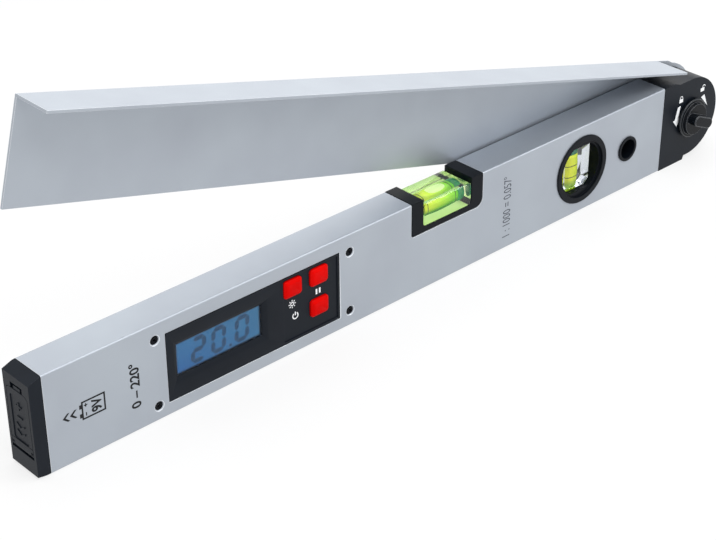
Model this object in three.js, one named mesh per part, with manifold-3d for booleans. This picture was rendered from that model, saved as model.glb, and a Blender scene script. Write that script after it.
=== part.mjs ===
// Electronic angle finder: a tube body with a display and two vials, and an L-section folding arm.
// Lengths are in millimetres and angles in degrees.
// X runs along the body from the battery end to the hinge, Y from the front face to the back, Z up.
// Places along X are measured from the tube's left end. The finished group is then moved so that
// its origin lies at the middle of the tube's bottom face.

import * as THREE from 'three';
import { mergeVertices } from 'three/addons/utils/BufferGeometryUtils.js';
import Module from 'manifold-3d';

const wasm = await Module();
wasm.setup();

// Clearances that every piece shares
const seatGap = 0.1;
const fitGap = 0.3;
const overrun = 2;

// Body tube
const tubeLength = 484;
const tubeHeight = 60;
const tubeDepth = 23;
const tubeWall = 1.8;
const tubeCornerRadius = 1.1;

// End cap and battery door
const capLength = 8;
const capTopSlope = 3;
const capBottomSlope = 1.6;
const capPlugLength = 12;
const doorAboveCentre = 1.2;
const doorLength = 35.6;
const doorWidth = 18.8;
const doorThickness = 1.9;
const doorCornerRadius = 3;
const doorBarrelRadius = 1.6;
const doorPinRadius = 0.6;
const doorPinHoleGap = 0.25;
const doorEarLength = 1.7;
const latchWidth = 6;
const latchHeight = 2.2;
const latchThickness = 1.2;
const fingerNotchWidth = 10.4;
const fingerNotchHeight = 3.6;
const fingerNotchDepth = 3.4;

// Nine volt block battery
const batteryLength = 46.4;
const batteryHeight = 26.4;
const batteryThickness = 17.4;
const batteryEdgeRadius = 1.6;
const terminalSpacing = 12.7;
const terminalHeight = 2.2;
const smallTerminalRadius = 2.9;
const largeTerminalRadius = 3.9;

// Battery cradle, contacts and leads
const cradleWall = 1.5;
const cradleRibSpacing = 24;
const contactPlateThickness = 1.4;
const contactPlateHeight = 24;
const contactPlateWidth = 12;
const contactCupWall = 0.8;
const contactCupHeight = 1.9;
const leadRadius = 0.6;
const leadOverlap = 6;

// Display module
const cradleToModule = 17.7;
const moduleMargin = 12.5;
const moduleFlangeThickness = 2.2;
const bezelLength = 122;
const bezelHeight = 42.8;
const bezelBelowCentre = 0.45;
const displayRimHeight = 26.3;
const displayRimLeft = 4.3;
const displayRimBottom = 8.9;
const displayBevel = 3.3;
const displayBevelDepth = 2;
const windowPaneThickness = 1;
const windowPaneLip = 1.2;
const lcdThickness = 2.2;
const lcdBorder = 3.4;
const lightGuideThickness = 2.6;
const stripWidth = 2.4;
const boardThickness = 1.6;
const boardMargin = 3;
const boardStandoff = 4.4;
const chipSize = 9;
const chipThickness = 1.4;
const chipBeyondBoardCentre = 14;
const postRadius = 3.4;

// Push buttons and their switches
const buttonWidth = 13;
const buttonHeight = 10.9;
const buttonCornerRadius = 2.2;
const buttonCrown = 0.7;
const buttonProud = 1.7;
const buttonFlangeWidth = 1;
const buttonFlangeThickness = 0.7;
const displayToButtonField = 11.5;
const buttonFieldLength = 41.4;
const buttonFieldRim = 1.4;
const buttonFieldDepth = 0.6;
const buttonLastColumnInset = 15.4;
const buttonColumnSpacing = 19.3;
const buttonLowerRow = 14.9;
const buttonRowSpacing = 19.8;
const switchSize = 6;
const switchHeight = 2.1;
const switchPlungerRadius = 1.7;
const switchPlungerHeight = 0.6;

// Countersunk screws
const screwHeadRadius = 2.9;
const screwHeadDepth = 1.5;
const screwShankRadius = 1.4;
const screwLength = 6;
const screwRecessRadius = 1.1;
const screwRecessDepth = 0.8;
const bezelScrewReachLeft = 6.9;
const bezelScrewReachRight = 8;

// Horizontal vial
const notchLength = 58.8;
const notchDepth = 21.5;
const notchLeftRadius = 1.5;
const notchRightRadius = 5;
const vialUprightWidth = 9.6;
const vialFloorHeight = 3.6;
const vialLip = 2;
const vialWindowLeftRadius = 2.4;
const vialWindowRightRadius = 4.4;
const vialBlockBelowTop = 3;
const vialBlockChamfer = 1.6;
const vialBarrelRadius = 5.3;
const vialBarrelEndRadius = 4.4;
const vialBarrelEndMargin = 3.3;

// Vertical vial in its round window
const ringEdgeMargin = 6.8;
const ringFlangeWidth = 2;
const ringFrontProud = 0.9;
const ringRearProud = 0.5;
const ringWall = 3.6;
const ringStepWidth = 1.6;
const ringStepDepth = 1.8;
const ringSeatInset = 2.2;
const uprightBlockWidth = 15;
const uprightBlockThickness = 14;
const uprightBarrelRadius = 4.9;
const uprightBarrelEndMargin = 3.4;

// Hanging hole and its grommet
const grommetFlangeRadius = 8.6;
const grommetFlangeWidth = 1.2;
const grommetBoreRadius = 6.6;
const ringToGrommet = 12.5;
const grommetToTongue = 3.7;
const grommetBelowHinge = 1.2;

// Hinge head
const tongueLength = 24;
const hingeBeyondRadius = 1.9;
const hingeAboveCentre = 0.3;
const headUndercut = 2.7;
const headTopStep = 11;
const headTopRamp = 5;
const headBackStep = 3.6;
const headTopRelief = 0.2;
const pocketWall = 5;
const pocketFloor = 4.2;
const stopWidth = 3.8;
const stopDepth = 3.6;
const cableDuct = 4;
const cableDuctRise = 4.6;
const washerRecessDepth = 0.6;
const frictionGrooveDepth = 1;
const frictionRingEdge = 1;
const frictionRingWidth = 2.6;

// Angle sensor
const sensorBoardEdge = 2.6;
const sensorBoardHoleRadius = 7;
const encoderEdge = 1.8;
const encoderThickness = 1.2;
const spigotRadius = 5;
const spigotLength = 1.8;
const bossRadius = 8;
const sensorScrewRadius = 1;
const sensorScrewHeadRadius = 1.9;
const sensorScrewHeadHeight = 0.9;
const sensorScrewLength = 4.4;
const sensorCableRadius = 1.1;

// Folding arm
const armOpenAngle = 15.3;
const armFullAngle = 220;
const armThickness = 1.5;
const armFlangeGap = 0.3;
const armWebGap = 1;
const armFlangeDepth = 26.2;
const armWebShort = 2;
const armEdgeRadius = 0.7;
const armFlangeStop = 17;
const armEndSlope = 5;
const hubThickness = 3.6;
const hubScrewInset = 6.6;
const hubScrewDepth = 2.6;
const stopLugHalfAngle = 8;
const stopLugClosedAngle = 200;
const stopPlayAngle = 1.2;

// Clamp: bolt, washer and knob
const boltRadius = 3;
const boltHeadRadius = 8;
const boltHeadHeight = 2;
const boltNeckSize = 7;
const boltNeckLength = 3.4;
const washerRadius = 9;
const washerThickness = 0.9;
const knobBaseRadius = 13.5;
const knobBaseHeight = 2.2;
const knobDiscRadius = 11.2;
const knobDiscHeight = 2.5;
const knobGripLength = 20;
const knobGripWidth = 7.4;
const knobGripHeight = 6.5;
const knobGripAngle = -24;
const knobDraft = 0.5;
const insertRadius = 4.9;
const insertLength = 3.6;

// Roundness of the facets
const fineSegments = 40;
const mediumSegments = 28;
const smallSegments = 16;
const screwSegments = 12;
const arcSegments = 8;
const cornerSegments = 3;

// Faces and places worked out from the sizes above
const frontFace = -tubeDepth / 2;
const backFace = tubeDepth / 2;
const innerFront = frontFace + tubeWall;
const innerBack = backFace - tubeWall;
const innerTop = tubeHeight - tubeWall;
const midHeight = tubeHeight / 2;
const headEndRadius = midHeight + hingeAboveCentre - headUndercut;
const hingeReach = headEndRadius + hingeBeyondRadius;
const hinge = { x: tubeLength + hingeReach, z: midHeight + hingeAboveCentre };
const tongueStart = tubeLength - tongueLength;
const grommetBodyRadius = grommetFlangeRadius - grommetFlangeWidth;
const grommetPlace = {
  x: tongueStart - grommetToTongue - grommetBodyRadius,
  z: hinge.z - grommetBelowHinge,
};
const ringFlangeRadius = midHeight - ringEdgeMargin;
const ringBodyRadius = ringFlangeRadius - ringFlangeWidth;
const ringBoreRadius = ringBodyRadius - ringWall;
const ringStepRadius = ringBoreRadius + ringStepWidth;
const ringSeatHalfHeight = ringBoreRadius - ringSeatInset;
const uprightBarrelLength = 2 * (ringSeatHalfHeight - uprightBarrelEndMargin);
const ringPlace = {
  x: grommetPlace.x - grommetFlangeRadius - ringToGrommet - ringFlangeRadius,
  z: midHeight,
};

const plastic = { color: 0x2b2e33, roughness: 0.55, metalness: 0 };
const materials = {
  aluminium: new THREE.MeshStandardMaterial({ color: 0xaeb5bf, roughness: 0.42, metalness: 0.85 }),
  blackPlastic: new THREE.MeshStandardMaterial(plastic),
  redButton: new THREE.MeshStandardMaterial({ color: 0xe1140f, roughness: 0.5, metalness: 0 }),
  display: new THREE.MeshStandardMaterial({ color: 0x6987a5, roughness: 0.2, metalness: 0 }),
  clear: new THREE.MeshStandardMaterial({ color: 0xdfe6ea, roughness: 0.05, metalness: 0 }),
  limeAcrylic: new THREE.MeshStandardMaterial({ color: 0xd7f05a, roughness: 0.05, metalness: 0 }),
  vialLiquid: new THREE.MeshStandardMaterial({ color: 0xa6e020, roughness: 0.05, metalness: 0 }),
  blackSteel: new THREE.MeshStandardMaterial({ color: 0x1d1e20, roughness: 0.4, metalness: 0.7 }),
  steel: new THREE.MeshStandardMaterial({ color: 0x9b9da0, roughness: 0.3, metalness: 1 }),
  brass: new THREE.MeshStandardMaterial({ color: 0xb99a4c, roughness: 0.35, metalness: 1 }),
  board: new THREE.MeshStandardMaterial({ color: 0x1d5a35, roughness: 0.5, metalness: 0 }),
  redLead: new THREE.MeshStandardMaterial({ color: 0xa51a16, roughness: 0.5, metalness: 0 }),
  fibre: new THREE.MeshStandardMaterial({ color: 0x6b4a32, roughness: 0.8, metalness: 0 }),
};

// Turns a closed geometry into a solid that can be cut and joined
function solidOf(geometry) {
  const bare = geometry.clone();
  bare.deleteAttribute('normal');
  bare.deleteAttribute('uv');
  const merged = mergeVertices(bare);
  const corners = merged.index.array;
  const triangles = [];
  for (let i = 0; i < corners.length; i += 3) {
    const [a, b, c] = [corners[i], corners[i + 1], corners[i + 2]];
    if (a !== b && b !== c && c !== a) triangles.push(a, b, c);
  }
  return new wasm.Manifold(new wasm.Mesh({
    numProp: 3,
    vertProperties: new Float32Array(merged.attributes.position.array),
    triVerts: new Uint32Array(triangles),
  }));
}

function geometryOf(solid) {
  const mesh = solid.getMesh();
  const geometry = new THREE.BufferGeometry();
  geometry.setAttribute('position', new THREE.BufferAttribute(new Float32Array(mesh.vertProperties), 3));
  geometry.setIndex(new THREE.BufferAttribute(new Uint32Array(mesh.triVerts), 1));
  geometry.computeVertexNormals();
  return geometry;
}

function join(first, ...others) {
  return others.reduce((sum, other) => sum.add(other), first);
}

function cut(solid, ...tools) {
  return tools.reduce((rest, tool) => rest.subtract(tool), solid);
}

function addPart(group, name, solid, material) {
  const mesh = new THREE.Mesh(geometryOf(solid), material);
  mesh.name = name;
  group.add(mesh);
}

// A box given by its ends along X, Y and Z
function box([x0, x1], [y0, y1], [z0, z1]) {
  const geometry = new THREE.BoxGeometry(x1 - x0, y1 - y0, z1 - z0);
  return solidOf(geometry.translate((x0 + x1) / 2, (y0 + y1) / 2, (z0 + z1) / 2));
}

function polygon(points) {
  return new THREE.Shape(points.map(([a, b]) => new THREE.Vector2(a, b)));
}

// A rectangle with its own radius at each corner: bottom left, bottom right, top right, top left
function roundedRectangle(left, right, bottom, top, radii) {
  const [bottomLeft, bottomRight, topRight, topLeft] = Array.isArray(radii) ? radii : Array(4).fill(radii);
  const shape = new THREE.Shape();
  shape.moveTo(left + bottomLeft, bottom);
  shape.lineTo(right - bottomRight, bottom);
  if (bottomRight) shape.absarc(right - bottomRight, bottom + bottomRight, bottomRight, -Math.PI / 2, 0);
  shape.lineTo(right, top - topRight);
  if (topRight) shape.absarc(right - topRight, top - topRight, topRight, 0, Math.PI / 2);
  shape.lineTo(left + topLeft, top);
  if (topLeft) shape.absarc(left + topLeft, top - topLeft, topLeft, Math.PI / 2, Math.PI);
  shape.lineTo(left, bottom + bottomLeft);
  if (bottomLeft) shape.absarc(left + bottomLeft, bottom + bottomLeft, bottomLeft, Math.PI, 1.5 * Math.PI);
  return shape;
}

// Extrudes an outline drawn in X and Z from one Y to another
function extrudeAlongY(shape, [y0, y1], curveSegments = cornerSegments) {
  const geometry = new THREE.ExtrudeGeometry(shape, { depth: y1 - y0, bevelEnabled: false, curveSegments });
  return solidOf(geometry.rotateX(Math.PI / 2).translate(0, y1, 0));
}

// Extrudes a section drawn in Y and Z from one X to another
function extrudeAlongX(shape, [x0, x1], curveSegments = cornerSegments) {
  const geometry = new THREE.ExtrudeGeometry(shape, { depth: x1 - x0, bevelEnabled: false, curveSegments });
  const turn = new THREE.Matrix4().makeBasis(
    new THREE.Vector3(0, 1, 0),
    new THREE.Vector3(0, 0, 1),
    new THREE.Vector3(1, 0, 0),
  );
  return solidOf(geometry.applyMatrix4(turn).translate(x0, 0, 0));
}

// Turns a profile of [radius, distance] points about a line along X, Y or Z
function turned(profile, axis, [x, y, z], segments = smallSegments) {
  const points = profile.map(([radius, along]) => new THREE.Vector2(radius, along));
  const geometry = new THREE.LatheGeometry(points, segments);
  if (axis === 'x') geometry.rotateZ(-Math.PI / 2);
  if (axis === 'z') geometry.rotateX(Math.PI / 2);
  return solidOf(geometry.translate(x, y, z));
}

function rod(radius, [from, to], axis, centre, segments = smallSegments) {
  return turned([[0, from], [radius, from], [radius, to], [0, to]], axis, centre, segments);
}

// A ring-shaped slice: an outline between two radii and two angles, seen from the front
function sector(centre, inner, outer, fromAngle, toAngle, yRange) {
  const shape = new THREE.Shape();
  const from = THREE.MathUtils.degToRad(fromAngle);
  const to = THREE.MathUtils.degToRad(toAngle);
  shape.absarc(centre.x, centre.z, outer, from, to, false);
  shape.absarc(centre.x, centre.z, inner, to, from, true);
  return extrudeAlongY(shape, yRange, arcSegments);
}

// A round wire or cable along a smooth curve through the given points
function cable(points, radius, steps, sides) {
  const curve = new THREE.CatmullRomCurve3(points.map(([x, y, z]) => new THREE.Vector3(x, y, z)));
  const section = new THREE.Shape();
  section.absarc(0, 0, radius, 0, 2 * Math.PI);
  const options = { extrudePath: curve, steps, curveSegments: sides / 2, bevelEnabled: false };
  return solidOf(new THREE.ExtrudeGeometry(section, options));
}

// A countersunk screw whose head is flush with the face at faceY; inward is +1 or -1 along Y
function countersunkScrew(x, faceY, z, inward, length = screwLength) {
  const profile = [
    [0, 0],
    [screwHeadRadius, 0],
    [screwShankRadius, screwHeadDepth],
    [screwShankRadius, length],
    [0, length],
  ];
  const recess = [
    [0, -overrun],
    [screwRecessRadius, -overrun],
    [screwRecessRadius, 0],
    [0, screwRecessDepth],
  ];
  const orient = (points) => (inward > 0 ? points : points.map(([r, y]) => [r, -y]).reverse());
  const screw = turned(orient(profile), 'y', [x, faceY, z], screwSegments);
  return cut(screw, turned(orient(recess), 'y', [x, faceY, z], screwSegments / 2));
}

// The hole that such a screw needs, with its countersink
function countersunkHole(x, faceY, z, inward, length = screwLength) {
  const wide = screwHeadRadius + fitGap;
  const narrow = screwShankRadius + fitGap;
  const profile = [
    [0, -overrun],
    [wide, -overrun],
    [wide, 0],
    [narrow, screwHeadDepth],
    [narrow, length + fitGap],
    [0, length + fitGap],
  ];
  const oriented = inward > 0 ? profile : profile.map(([r, y]) => [r, -y]).reverse();
  return turned(oriented, 'y', [x, faceY, z], screwSegments);
}

// Battery compartment, from the cap inwards
const doorOuterFace = -capLength;
const batteryStart = doorOuterFace + doorThickness + fitGap;
const batteryEnd = batteryStart + batteryLength;
const terminalEnd = batteryEnd + terminalHeight;
const contactPlateStart = terminalEnd + fitGap;
const contactPlateEnd = contactPlateStart + contactPlateThickness;
const cradleEndWall = contactPlateEnd + seatGap;
const cradleEnd = cradleEndWall + cradleWall;
const cradleInnerHalf = batteryHeight / 2 + fitGap;
const doorAxis = {
  x: doorOuterFace + doorBarrelRadius + seatGap,
  z: midHeight + doorAboveCentre - doorLength / 2,
};
const doorTop = doorAxis.z + doorLength;
const capScrewX = capPlugLength / 2;
const capScrewHeights = [innerTop - 2 * screwHeadRadius, tubeWall + 2 * screwHeadRadius];

// Display module places
const moduleStart = cradleEnd + cradleToModule;
const bezelLeft = moduleStart + moduleMargin;
const bezelRight = bezelLeft + bezelLength;
const moduleEnd = bezelRight + moduleMargin;
const bezelMiddle = midHeight - bezelBelowCentre;
const fieldLeft = bezelRight - buttonFieldLength;
const displayRimLength = fieldLeft - displayToButtonField - bezelLeft - displayRimLeft;
const bezelBottom = bezelMiddle - bezelHeight / 2;
const bezelTop = bezelMiddle + bezelHeight / 2;
const flangeFront = innerFront + seatGap;
const flangeBack = flangeFront + moduleFlangeThickness;
const boardFront = flangeBack + boardStandoff;
const boardBack = boardFront + boardThickness;
const boardHeights = [tubeWall + boardMargin, innerTop - boardMargin];
const boardEnds = [moduleStart + boardMargin, moduleEnd - boardMargin];
const displayRim = {
  left: bezelLeft + displayRimLeft,
  right: bezelLeft + displayRimLeft + displayRimLength,
  bottom: bezelBottom + displayRimBottom,
  top: bezelBottom + displayRimBottom + displayRimHeight,
};
const lastColumn = bezelRight - buttonLastColumnInset;
const buttonColumns = [lastColumn - buttonColumnSpacing, lastColumn];
const buttonRows = [bezelBottom + buttonLowerRow, bezelBottom + buttonLowerRow + buttonRowSpacing];
const buttons = [
  { name: 'light', x: buttonColumns[0], z: buttonRows[1] },
  { name: 'hold', x: buttonColumns[1], z: buttonRows[1] },
  { name: 'power', x: buttonColumns[1], z: buttonRows[0] },
];

// Heights of the four screws beside the bezel, as shares of half its height
const bezelScrewHeightShares = { topLeft: 0.95, bottomLeft: -0.97, topRight: 0.88, bottomRight: -0.92 };
const bezelScrewHeight = (share) => bezelMiddle + (share * bezelHeight) / 2;
const bezelScrews = [
  { x: bezelLeft - bezelScrewReachLeft, z: bezelScrewHeight(bezelScrewHeightShares.topLeft) },
  { x: bezelLeft - bezelScrewReachLeft, z: bezelScrewHeight(bezelScrewHeightShares.bottomLeft) },
  { x: bezelRight + bezelScrewReachRight, z: bezelScrewHeight(bezelScrewHeightShares.topRight) },
  { x: bezelRight + bezelScrewReachRight, z: bezelScrewHeight(bezelScrewHeightShares.bottomRight) },
];

// The horizontal vial stands at this share of the free stretch between the module and the round window
const notchPlaceShare = 0.432;
const notchMiddle = moduleEnd + notchPlaceShare * (ringPlace.x - ringFlangeRadius - moduleEnd);
const notchLeft = notchMiddle - notchLength / 2;
const notchRight = notchMiddle + notchLength / 2;
const notchBottom = tubeHeight - notchDepth;
const vialBarrelLength = notchLength - 2 * (vialUprightWidth + vialBarrelEndMargin);

// Hinge places along Y
const headBack = backFace - headBackStep;
const webFront = backFace + armWebGap;
const webBack = webFront + armThickness;
const hubBack = webFront - fitGap;
const hubFront = hubBack - hubThickness;
const pocketBottom = frontFace + pocketFloor;
const pocketRadius = headEndRadius - pocketWall;
const stopInnerRadius = pocketRadius - stopWidth;
const frictionRingOuter = headEndRadius - frictionRingEdge;
const frictionRingInner = frictionRingOuter - frictionRingWidth;
const hubRadius = headEndRadius;
const hubScrewPlace = hubRadius - hubScrewInset;
const sensorBoardRadius = pocketRadius - sensorBoardEdge;
const encoderRadius = stopInnerRadius - encoderEdge;
const headScrewX = tongueStart + tongueLength / 2;
const headScrewHeights = [innerTop - 3 * screwHeadRadius, tubeWall + 3 * screwHeadRadius];
const ductHeight = hinge.z - pocketRadius + cableDuctRise;

function tubeSection(inset = 0) {
  const radius = Math.max(tubeCornerRadius - inset, 0);
  return roundedRectangle(frontFace + inset, backFace - inset, inset, tubeHeight - inset, radius);
}

function notchOutline(grow) {
  const radii = [notchLeftRadius + grow, notchRightRadius + grow, 0, 0];
  const top = tubeHeight + overrun;
  return roundedRectangle(notchLeft - grow, notchRight + grow, notchBottom - grow, top, radii);
}

function makeTube() {
  const through = [frontFace - overrun, backFace + overrun];
  const frontWall = [frontFace - overrun, innerFront + seatGap / 2];
  const windowCut = box(
    [bezelLeft - fitGap, bezelRight + fitGap],
    frontWall,
    [bezelBottom - fitGap, bezelTop + fitGap],
  );
  return cut(
    extrudeAlongX(tubeSection(), [0, tubeLength]),
    extrudeAlongX(tubeSection(tubeWall), [-overrun, tubeLength + overrun]),
    windowCut,
    ...bezelScrews.map((place) => countersunkHole(place.x, frontFace, place.z, 1, tubeWall)),
    extrudeAlongY(notchOutline(fitGap), through),
    rod(ringBodyRadius + fitGap, through, 'y', [ringPlace.x, 0, ringPlace.z], fineSegments),
    rod(grommetBodyRadius + fitGap, through, 'y', [grommetPlace.x, 0, grommetPlace.z], mediumSegments),
    ...headScrewHeights.map((z) => countersunkHole(headScrewX, backFace, z, -1, tubeWall)),
    ...capScrewHeights.map((z) => countersunkHole(capScrewX, backFace, z, -1, tubeWall)),
  );
}

function makeEndCap() {
  const side = polygon([
    [-seatGap, 0],
    [-seatGap, tubeHeight],
    [doorOuterFace, tubeHeight - capTopSlope],
    [doorOuterFace, capBottomSlope],
  ]);
  const shell = extrudeAlongY(side, [frontFace - overrun, backFace + overrun])
    .intersect(extrudeAlongX(tubeSection(), [doorOuterFace - overrun, overrun]));
  const plug = box(
    [-seatGap, capPlugLength],
    [innerFront + fitGap, innerBack - fitGap],
    [tubeWall + fitGap, innerTop - fitGap],
  );
  const batteryOpening = box(
    [doorOuterFace - overrun, capPlugLength + overrun],
    [-batteryThickness / 2 - fitGap, batteryThickness / 2 + fitGap],
    [midHeight - cradleInnerHalf, midHeight + cradleInnerHalf],
  );
  const plugSides = box(
    [fitGap, capPlugLength + overrun],
    [frontFace, backFace],
    [midHeight - cradleInnerHalf, midHeight + cradleInnerHalf],
  );
  const recessHalf = doorWidth / 2 + fitGap;
  const radii = [0, 0, doorCornerRadius + fitGap, doorCornerRadius + fitGap];
  const recessOutline = roundedRectangle(
    -recessHalf,
    recessHalf,
    doorAxis.z - doorBarrelRadius - 2 * fitGap,
    doorTop + fitGap,
    radii,
  );
  const recessSpan = [doorOuterFace - overrun, doorOuterFace + doorThickness + seatGap];
  const recess = extrudeAlongX(recessOutline, recessSpan);
  const barrelGroove = box(
    [doorOuterFace - overrun, doorAxis.x + doorBarrelRadius + fitGap],
    [-recessHalf, recessHalf],
    [doorAxis.z - doorBarrelRadius - 2 * fitGap, doorAxis.z + doorBarrelRadius + fitGap],
  );
  const fingerNotch = box(
    [doorOuterFace - overrun, doorOuterFace + fingerNotchDepth],
    [-fingerNotchWidth / 2, fingerNotchWidth / 2],
    [doorTop - seatGap, doorTop + fingerNotchHeight],
  );
  return cut(
    join(cut(join(shell, plug), plugSides, recess, barrelGroove, fingerNotch), ...doorEars()),
    batteryOpening,
    rod(doorPinRadius + doorPinHoleGap, [-recessHalf - doorEarLength, recessHalf + doorEarLength], 'y', [
      doorAxis.x,
      0,
      doorAxis.z,
    ]),
    ...capScrewHeights.map((z) => countersunkHole(capScrewX, backFace, z, -1)),
  );
}

// Two knuckles at the ends of the door's barrel, standing on the floor of the groove
function doorEars() {
  const outer = doorWidth / 2 + 2 * fitGap;
  const inner = doorWidth / 2 - doorEarLength;
  const foot = [doorAxis.x, doorAxis.x + doorBarrelRadius + 2 * fitGap];
  return [-1, 1].map((side) => {
    const span = [side * inner, side * outer].sort((a, b) => a - b);
    const knuckle = rod(doorBarrelRadius, span, 'y', [doorAxis.x, 0, doorAxis.z]);
    const heights = [doorAxis.z - doorBarrelRadius, doorAxis.z + doorBarrelRadius];
    return join(knuckle, box(foot, span, heights));
  });
}

function makeDoor() {
  const half = doorWidth / 2;
  const barrelHalf = half - doorEarLength - fitGap;
  const panelBottom = doorAxis.z + doorBarrelRadius + fitGap;
  const panelOutline = roundedRectangle(-half, half, panelBottom, doorTop, [
    0,
    0,
    doorCornerRadius,
    doorCornerRadius,
  ]);
  const panel = extrudeAlongX(panelOutline, [doorOuterFace, doorOuterFace + doorThickness]);
  const neck = box(
    [doorOuterFace + seatGap, doorOuterFace + doorThickness],
    [-barrelHalf, barrelHalf],
    [doorAxis.z, panelBottom + fitGap],
  );
  const barrel = rod(doorBarrelRadius, [-barrelHalf, barrelHalf], 'y', [doorAxis.x, 0, doorAxis.z]);
  const tongue = box(
    [doorOuterFace + fitGap, doorOuterFace + fitGap + latchThickness],
    [-latchWidth / 2, latchWidth / 2],
    [doorTop - latchThickness, doorTop + latchHeight],
  );
  const lineGroove = box(
    [doorOuterFace - overrun, doorOuterFace + doorThickness / 4],
    [-half - overrun, half + overrun],
    [panelBottom + latchHeight, panelBottom + latchHeight + fitGap],
  );
  return cut(
    join(panel, neck, barrel, tongue),
    rod(doorPinRadius + doorPinHoleGap, [-half, half], 'y', [doorAxis.x, 0, doorAxis.z]),
    lineGroove,
  );
}

function makeBattery() {
  const outline = roundedRectangle(
    -batteryThickness / 2,
    batteryThickness / 2,
    midHeight - batteryHeight / 2,
    midHeight + batteryHeight / 2,
    batteryEdgeRadius,
  );
  const terminal = (radius, side) => rod(
    radius,
    [batteryEnd - overrun, terminalEnd],
    'x',
    [0, 0, midHeight + (side * terminalSpacing) / 2],
  );
  return join(
    extrudeAlongX(outline, [batteryStart, batteryEnd]),
    terminal(smallTerminalRadius, 1),
    terminal(largeTerminalRadius, -1),
  );
}

// Two shelves and an end wall, with ribs that reach the tube
function makeCradle() {
  const depth = [innerFront + fitGap, innerBack - fitGap];
  const start = capPlugLength + fitGap;
  const outerHalf = cradleInnerHalf + cradleWall;
  const walls = cut(
    box([start, cradleEnd], depth, [midHeight - outerHalf, midHeight + outerHalf]),
    box(
      [start - overrun, cradleEndWall],
      [frontFace, backFace],
      [midHeight - cradleInnerHalf, midHeight + cradleInnerHalf],
    ),
  );
  const ribStarts = [start, start + cradleRibSpacing];
  const ribs = ribStarts.flatMap((x) => [
    box([x, x + cradleWall], depth, [tubeWall + seatGap, midHeight - cradleInnerHalf]),
    box([x, x + cradleWall], depth, [midHeight + cradleInnerHalf, innerTop - seatGap]),
  ]);
  const leadHoles = [-1, 1].map((side) => rod(
    leadRadius + fitGap,
    [cradleEndWall - overrun, cradleEnd + overrun],
    'x',
    [0, 0, midHeight + (side * terminalSpacing) / 2],
  ));
  return cut(join(walls, ...ribs), ...leadHoles);
}

function makeContacts() {
  const plate = box(
    [contactPlateStart, contactPlateEnd],
    [-contactPlateWidth / 2, contactPlateWidth / 2],
    [midHeight - contactPlateHeight / 2, midHeight + contactPlateHeight / 2],
  );
  const cup = (terminalRadius, side) => {
    const centre = [0, 0, midHeight + (side * terminalSpacing) / 2];
    const reach = [contactPlateStart - contactCupHeight, contactPlateStart + seatGap];
    const bore = [reach[0] - overrun, contactPlateStart];
    return cut(
      rod(terminalRadius + fitGap + contactCupWall, reach, 'x', centre),
      rod(terminalRadius + fitGap, bore, 'x', centre),
    );
  };
  return join(plate, cup(smallTerminalRadius, 1), cup(largeTerminalRadius, -1));
}

// A battery lead from the contact plate to the back of the circuit board
function makeLead(side) {
  const z = midHeight + (side * terminalSpacing) / 2;
  const end = boardEnds[0] + leadOverlap;
  const bow = side * (leadRadius + fitGap);
  const y = Math.max(0, boardBack + leadRadius + fitGap);
  return cable([
    [contactPlateEnd + fitGap, 0, z],
    [cradleEnd + fitGap, 0, z],
    [(cradleEnd + boardEnds[0]) / 2, y / 2, z + bow],
    [boardEnds[0], y, z + 2 * bow],
    [end, y, z + 2 * bow],
  ], leadRadius, 9, 8);
}

function makeBezel() {
  const face = box([bezelLeft, bezelRight], [frontFace, flangeBack], [bezelBottom, bezelTop]);
  const flange = box(
    [moduleStart, moduleEnd],
    [flangeFront, flangeBack],
    [tubeWall + fitGap, innerTop - fitGap],
  );
  const posts = bezelScrews.map((place) => rod(
    postRadius,
    [flangeBack - seatGap, boardFront - seatGap],
    'y',
    [place.x, 0, place.z],
  ));
  return cut(
    join(face, flange, ...posts),
    displayBevelCut(),
    ...displayPockets(),
    box(
      [fieldLeft, bezelRight - buttonFieldRim],
      [frontFace - overrun, frontFace + buttonFieldDepth],
      [bezelBottom + buttonFieldRim, bezelTop - buttonFieldRim],
    ),
    ...buttons.map((button) => {
      return extrudeAlongY(buttonOutline(button, fitGap), [frontFace - overrun, backFace]);
    }),
    ...bezelScrews.map((place) => countersunkHole(place.x, frontFace, place.z, 1)),
  );
}

// A four-sided funnel from the rim in the bezel's face down to the visible display
function displayBevelCut() {
  const ratio = displayBevel / displayBevelDepth;
  const depthAt = (y) => (y - frontFace) * ratio;
  const corners = (y) => {
    const inset = depthAt(y);
    return [
      [displayRim.left + inset, y, displayRim.bottom + inset],
      [displayRim.right - inset, y, displayRim.bottom + inset],
      [displayRim.right - inset, y, displayRim.top - inset],
      [displayRim.left + inset, y, displayRim.top - inset],
    ];
  };
  const rings = [corners(frontFace - displayBevelDepth / 4), corners(frontFace + displayBevelDepth)];
  const positions = new Float32Array(rings.flat(2));
  const faces = [0, 1, 2, 0, 2, 3, 4, 6, 5, 4, 7, 6];
  for (let i = 0; i < 4; i += 1) {
    const next = (i + 1) % 4;
    faces.push(i, i + 4, next, next, i + 4, next + 4);
  }
  const geometry = new THREE.BufferGeometry();
  geometry.setAttribute('position', new THREE.BufferAttribute(positions, 3));
  geometry.setIndex(faces);
  return solidOf(geometry);
}

const paneFront = frontFace + displayBevelDepth + seatGap;
const paneBack = paneFront + windowPaneThickness;
const lcdFront = paneBack + seatGap;
const lcdBack = lcdFront + lcdThickness;
const visibleDisplay = {
  left: displayRim.left + displayBevel,
  right: displayRim.right - displayBevel,
  bottom: displayRim.bottom + displayBevel,
  top: displayRim.top - displayBevel,
};

// A box behind the visible display, grown by a border, between two Y places
function displayBox(border, yRange) {
  return box(
    [visibleDisplay.left - border, visibleDisplay.right + border],
    yRange,
    [visibleDisplay.bottom - border, visibleDisplay.top + border],
  );
}

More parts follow.
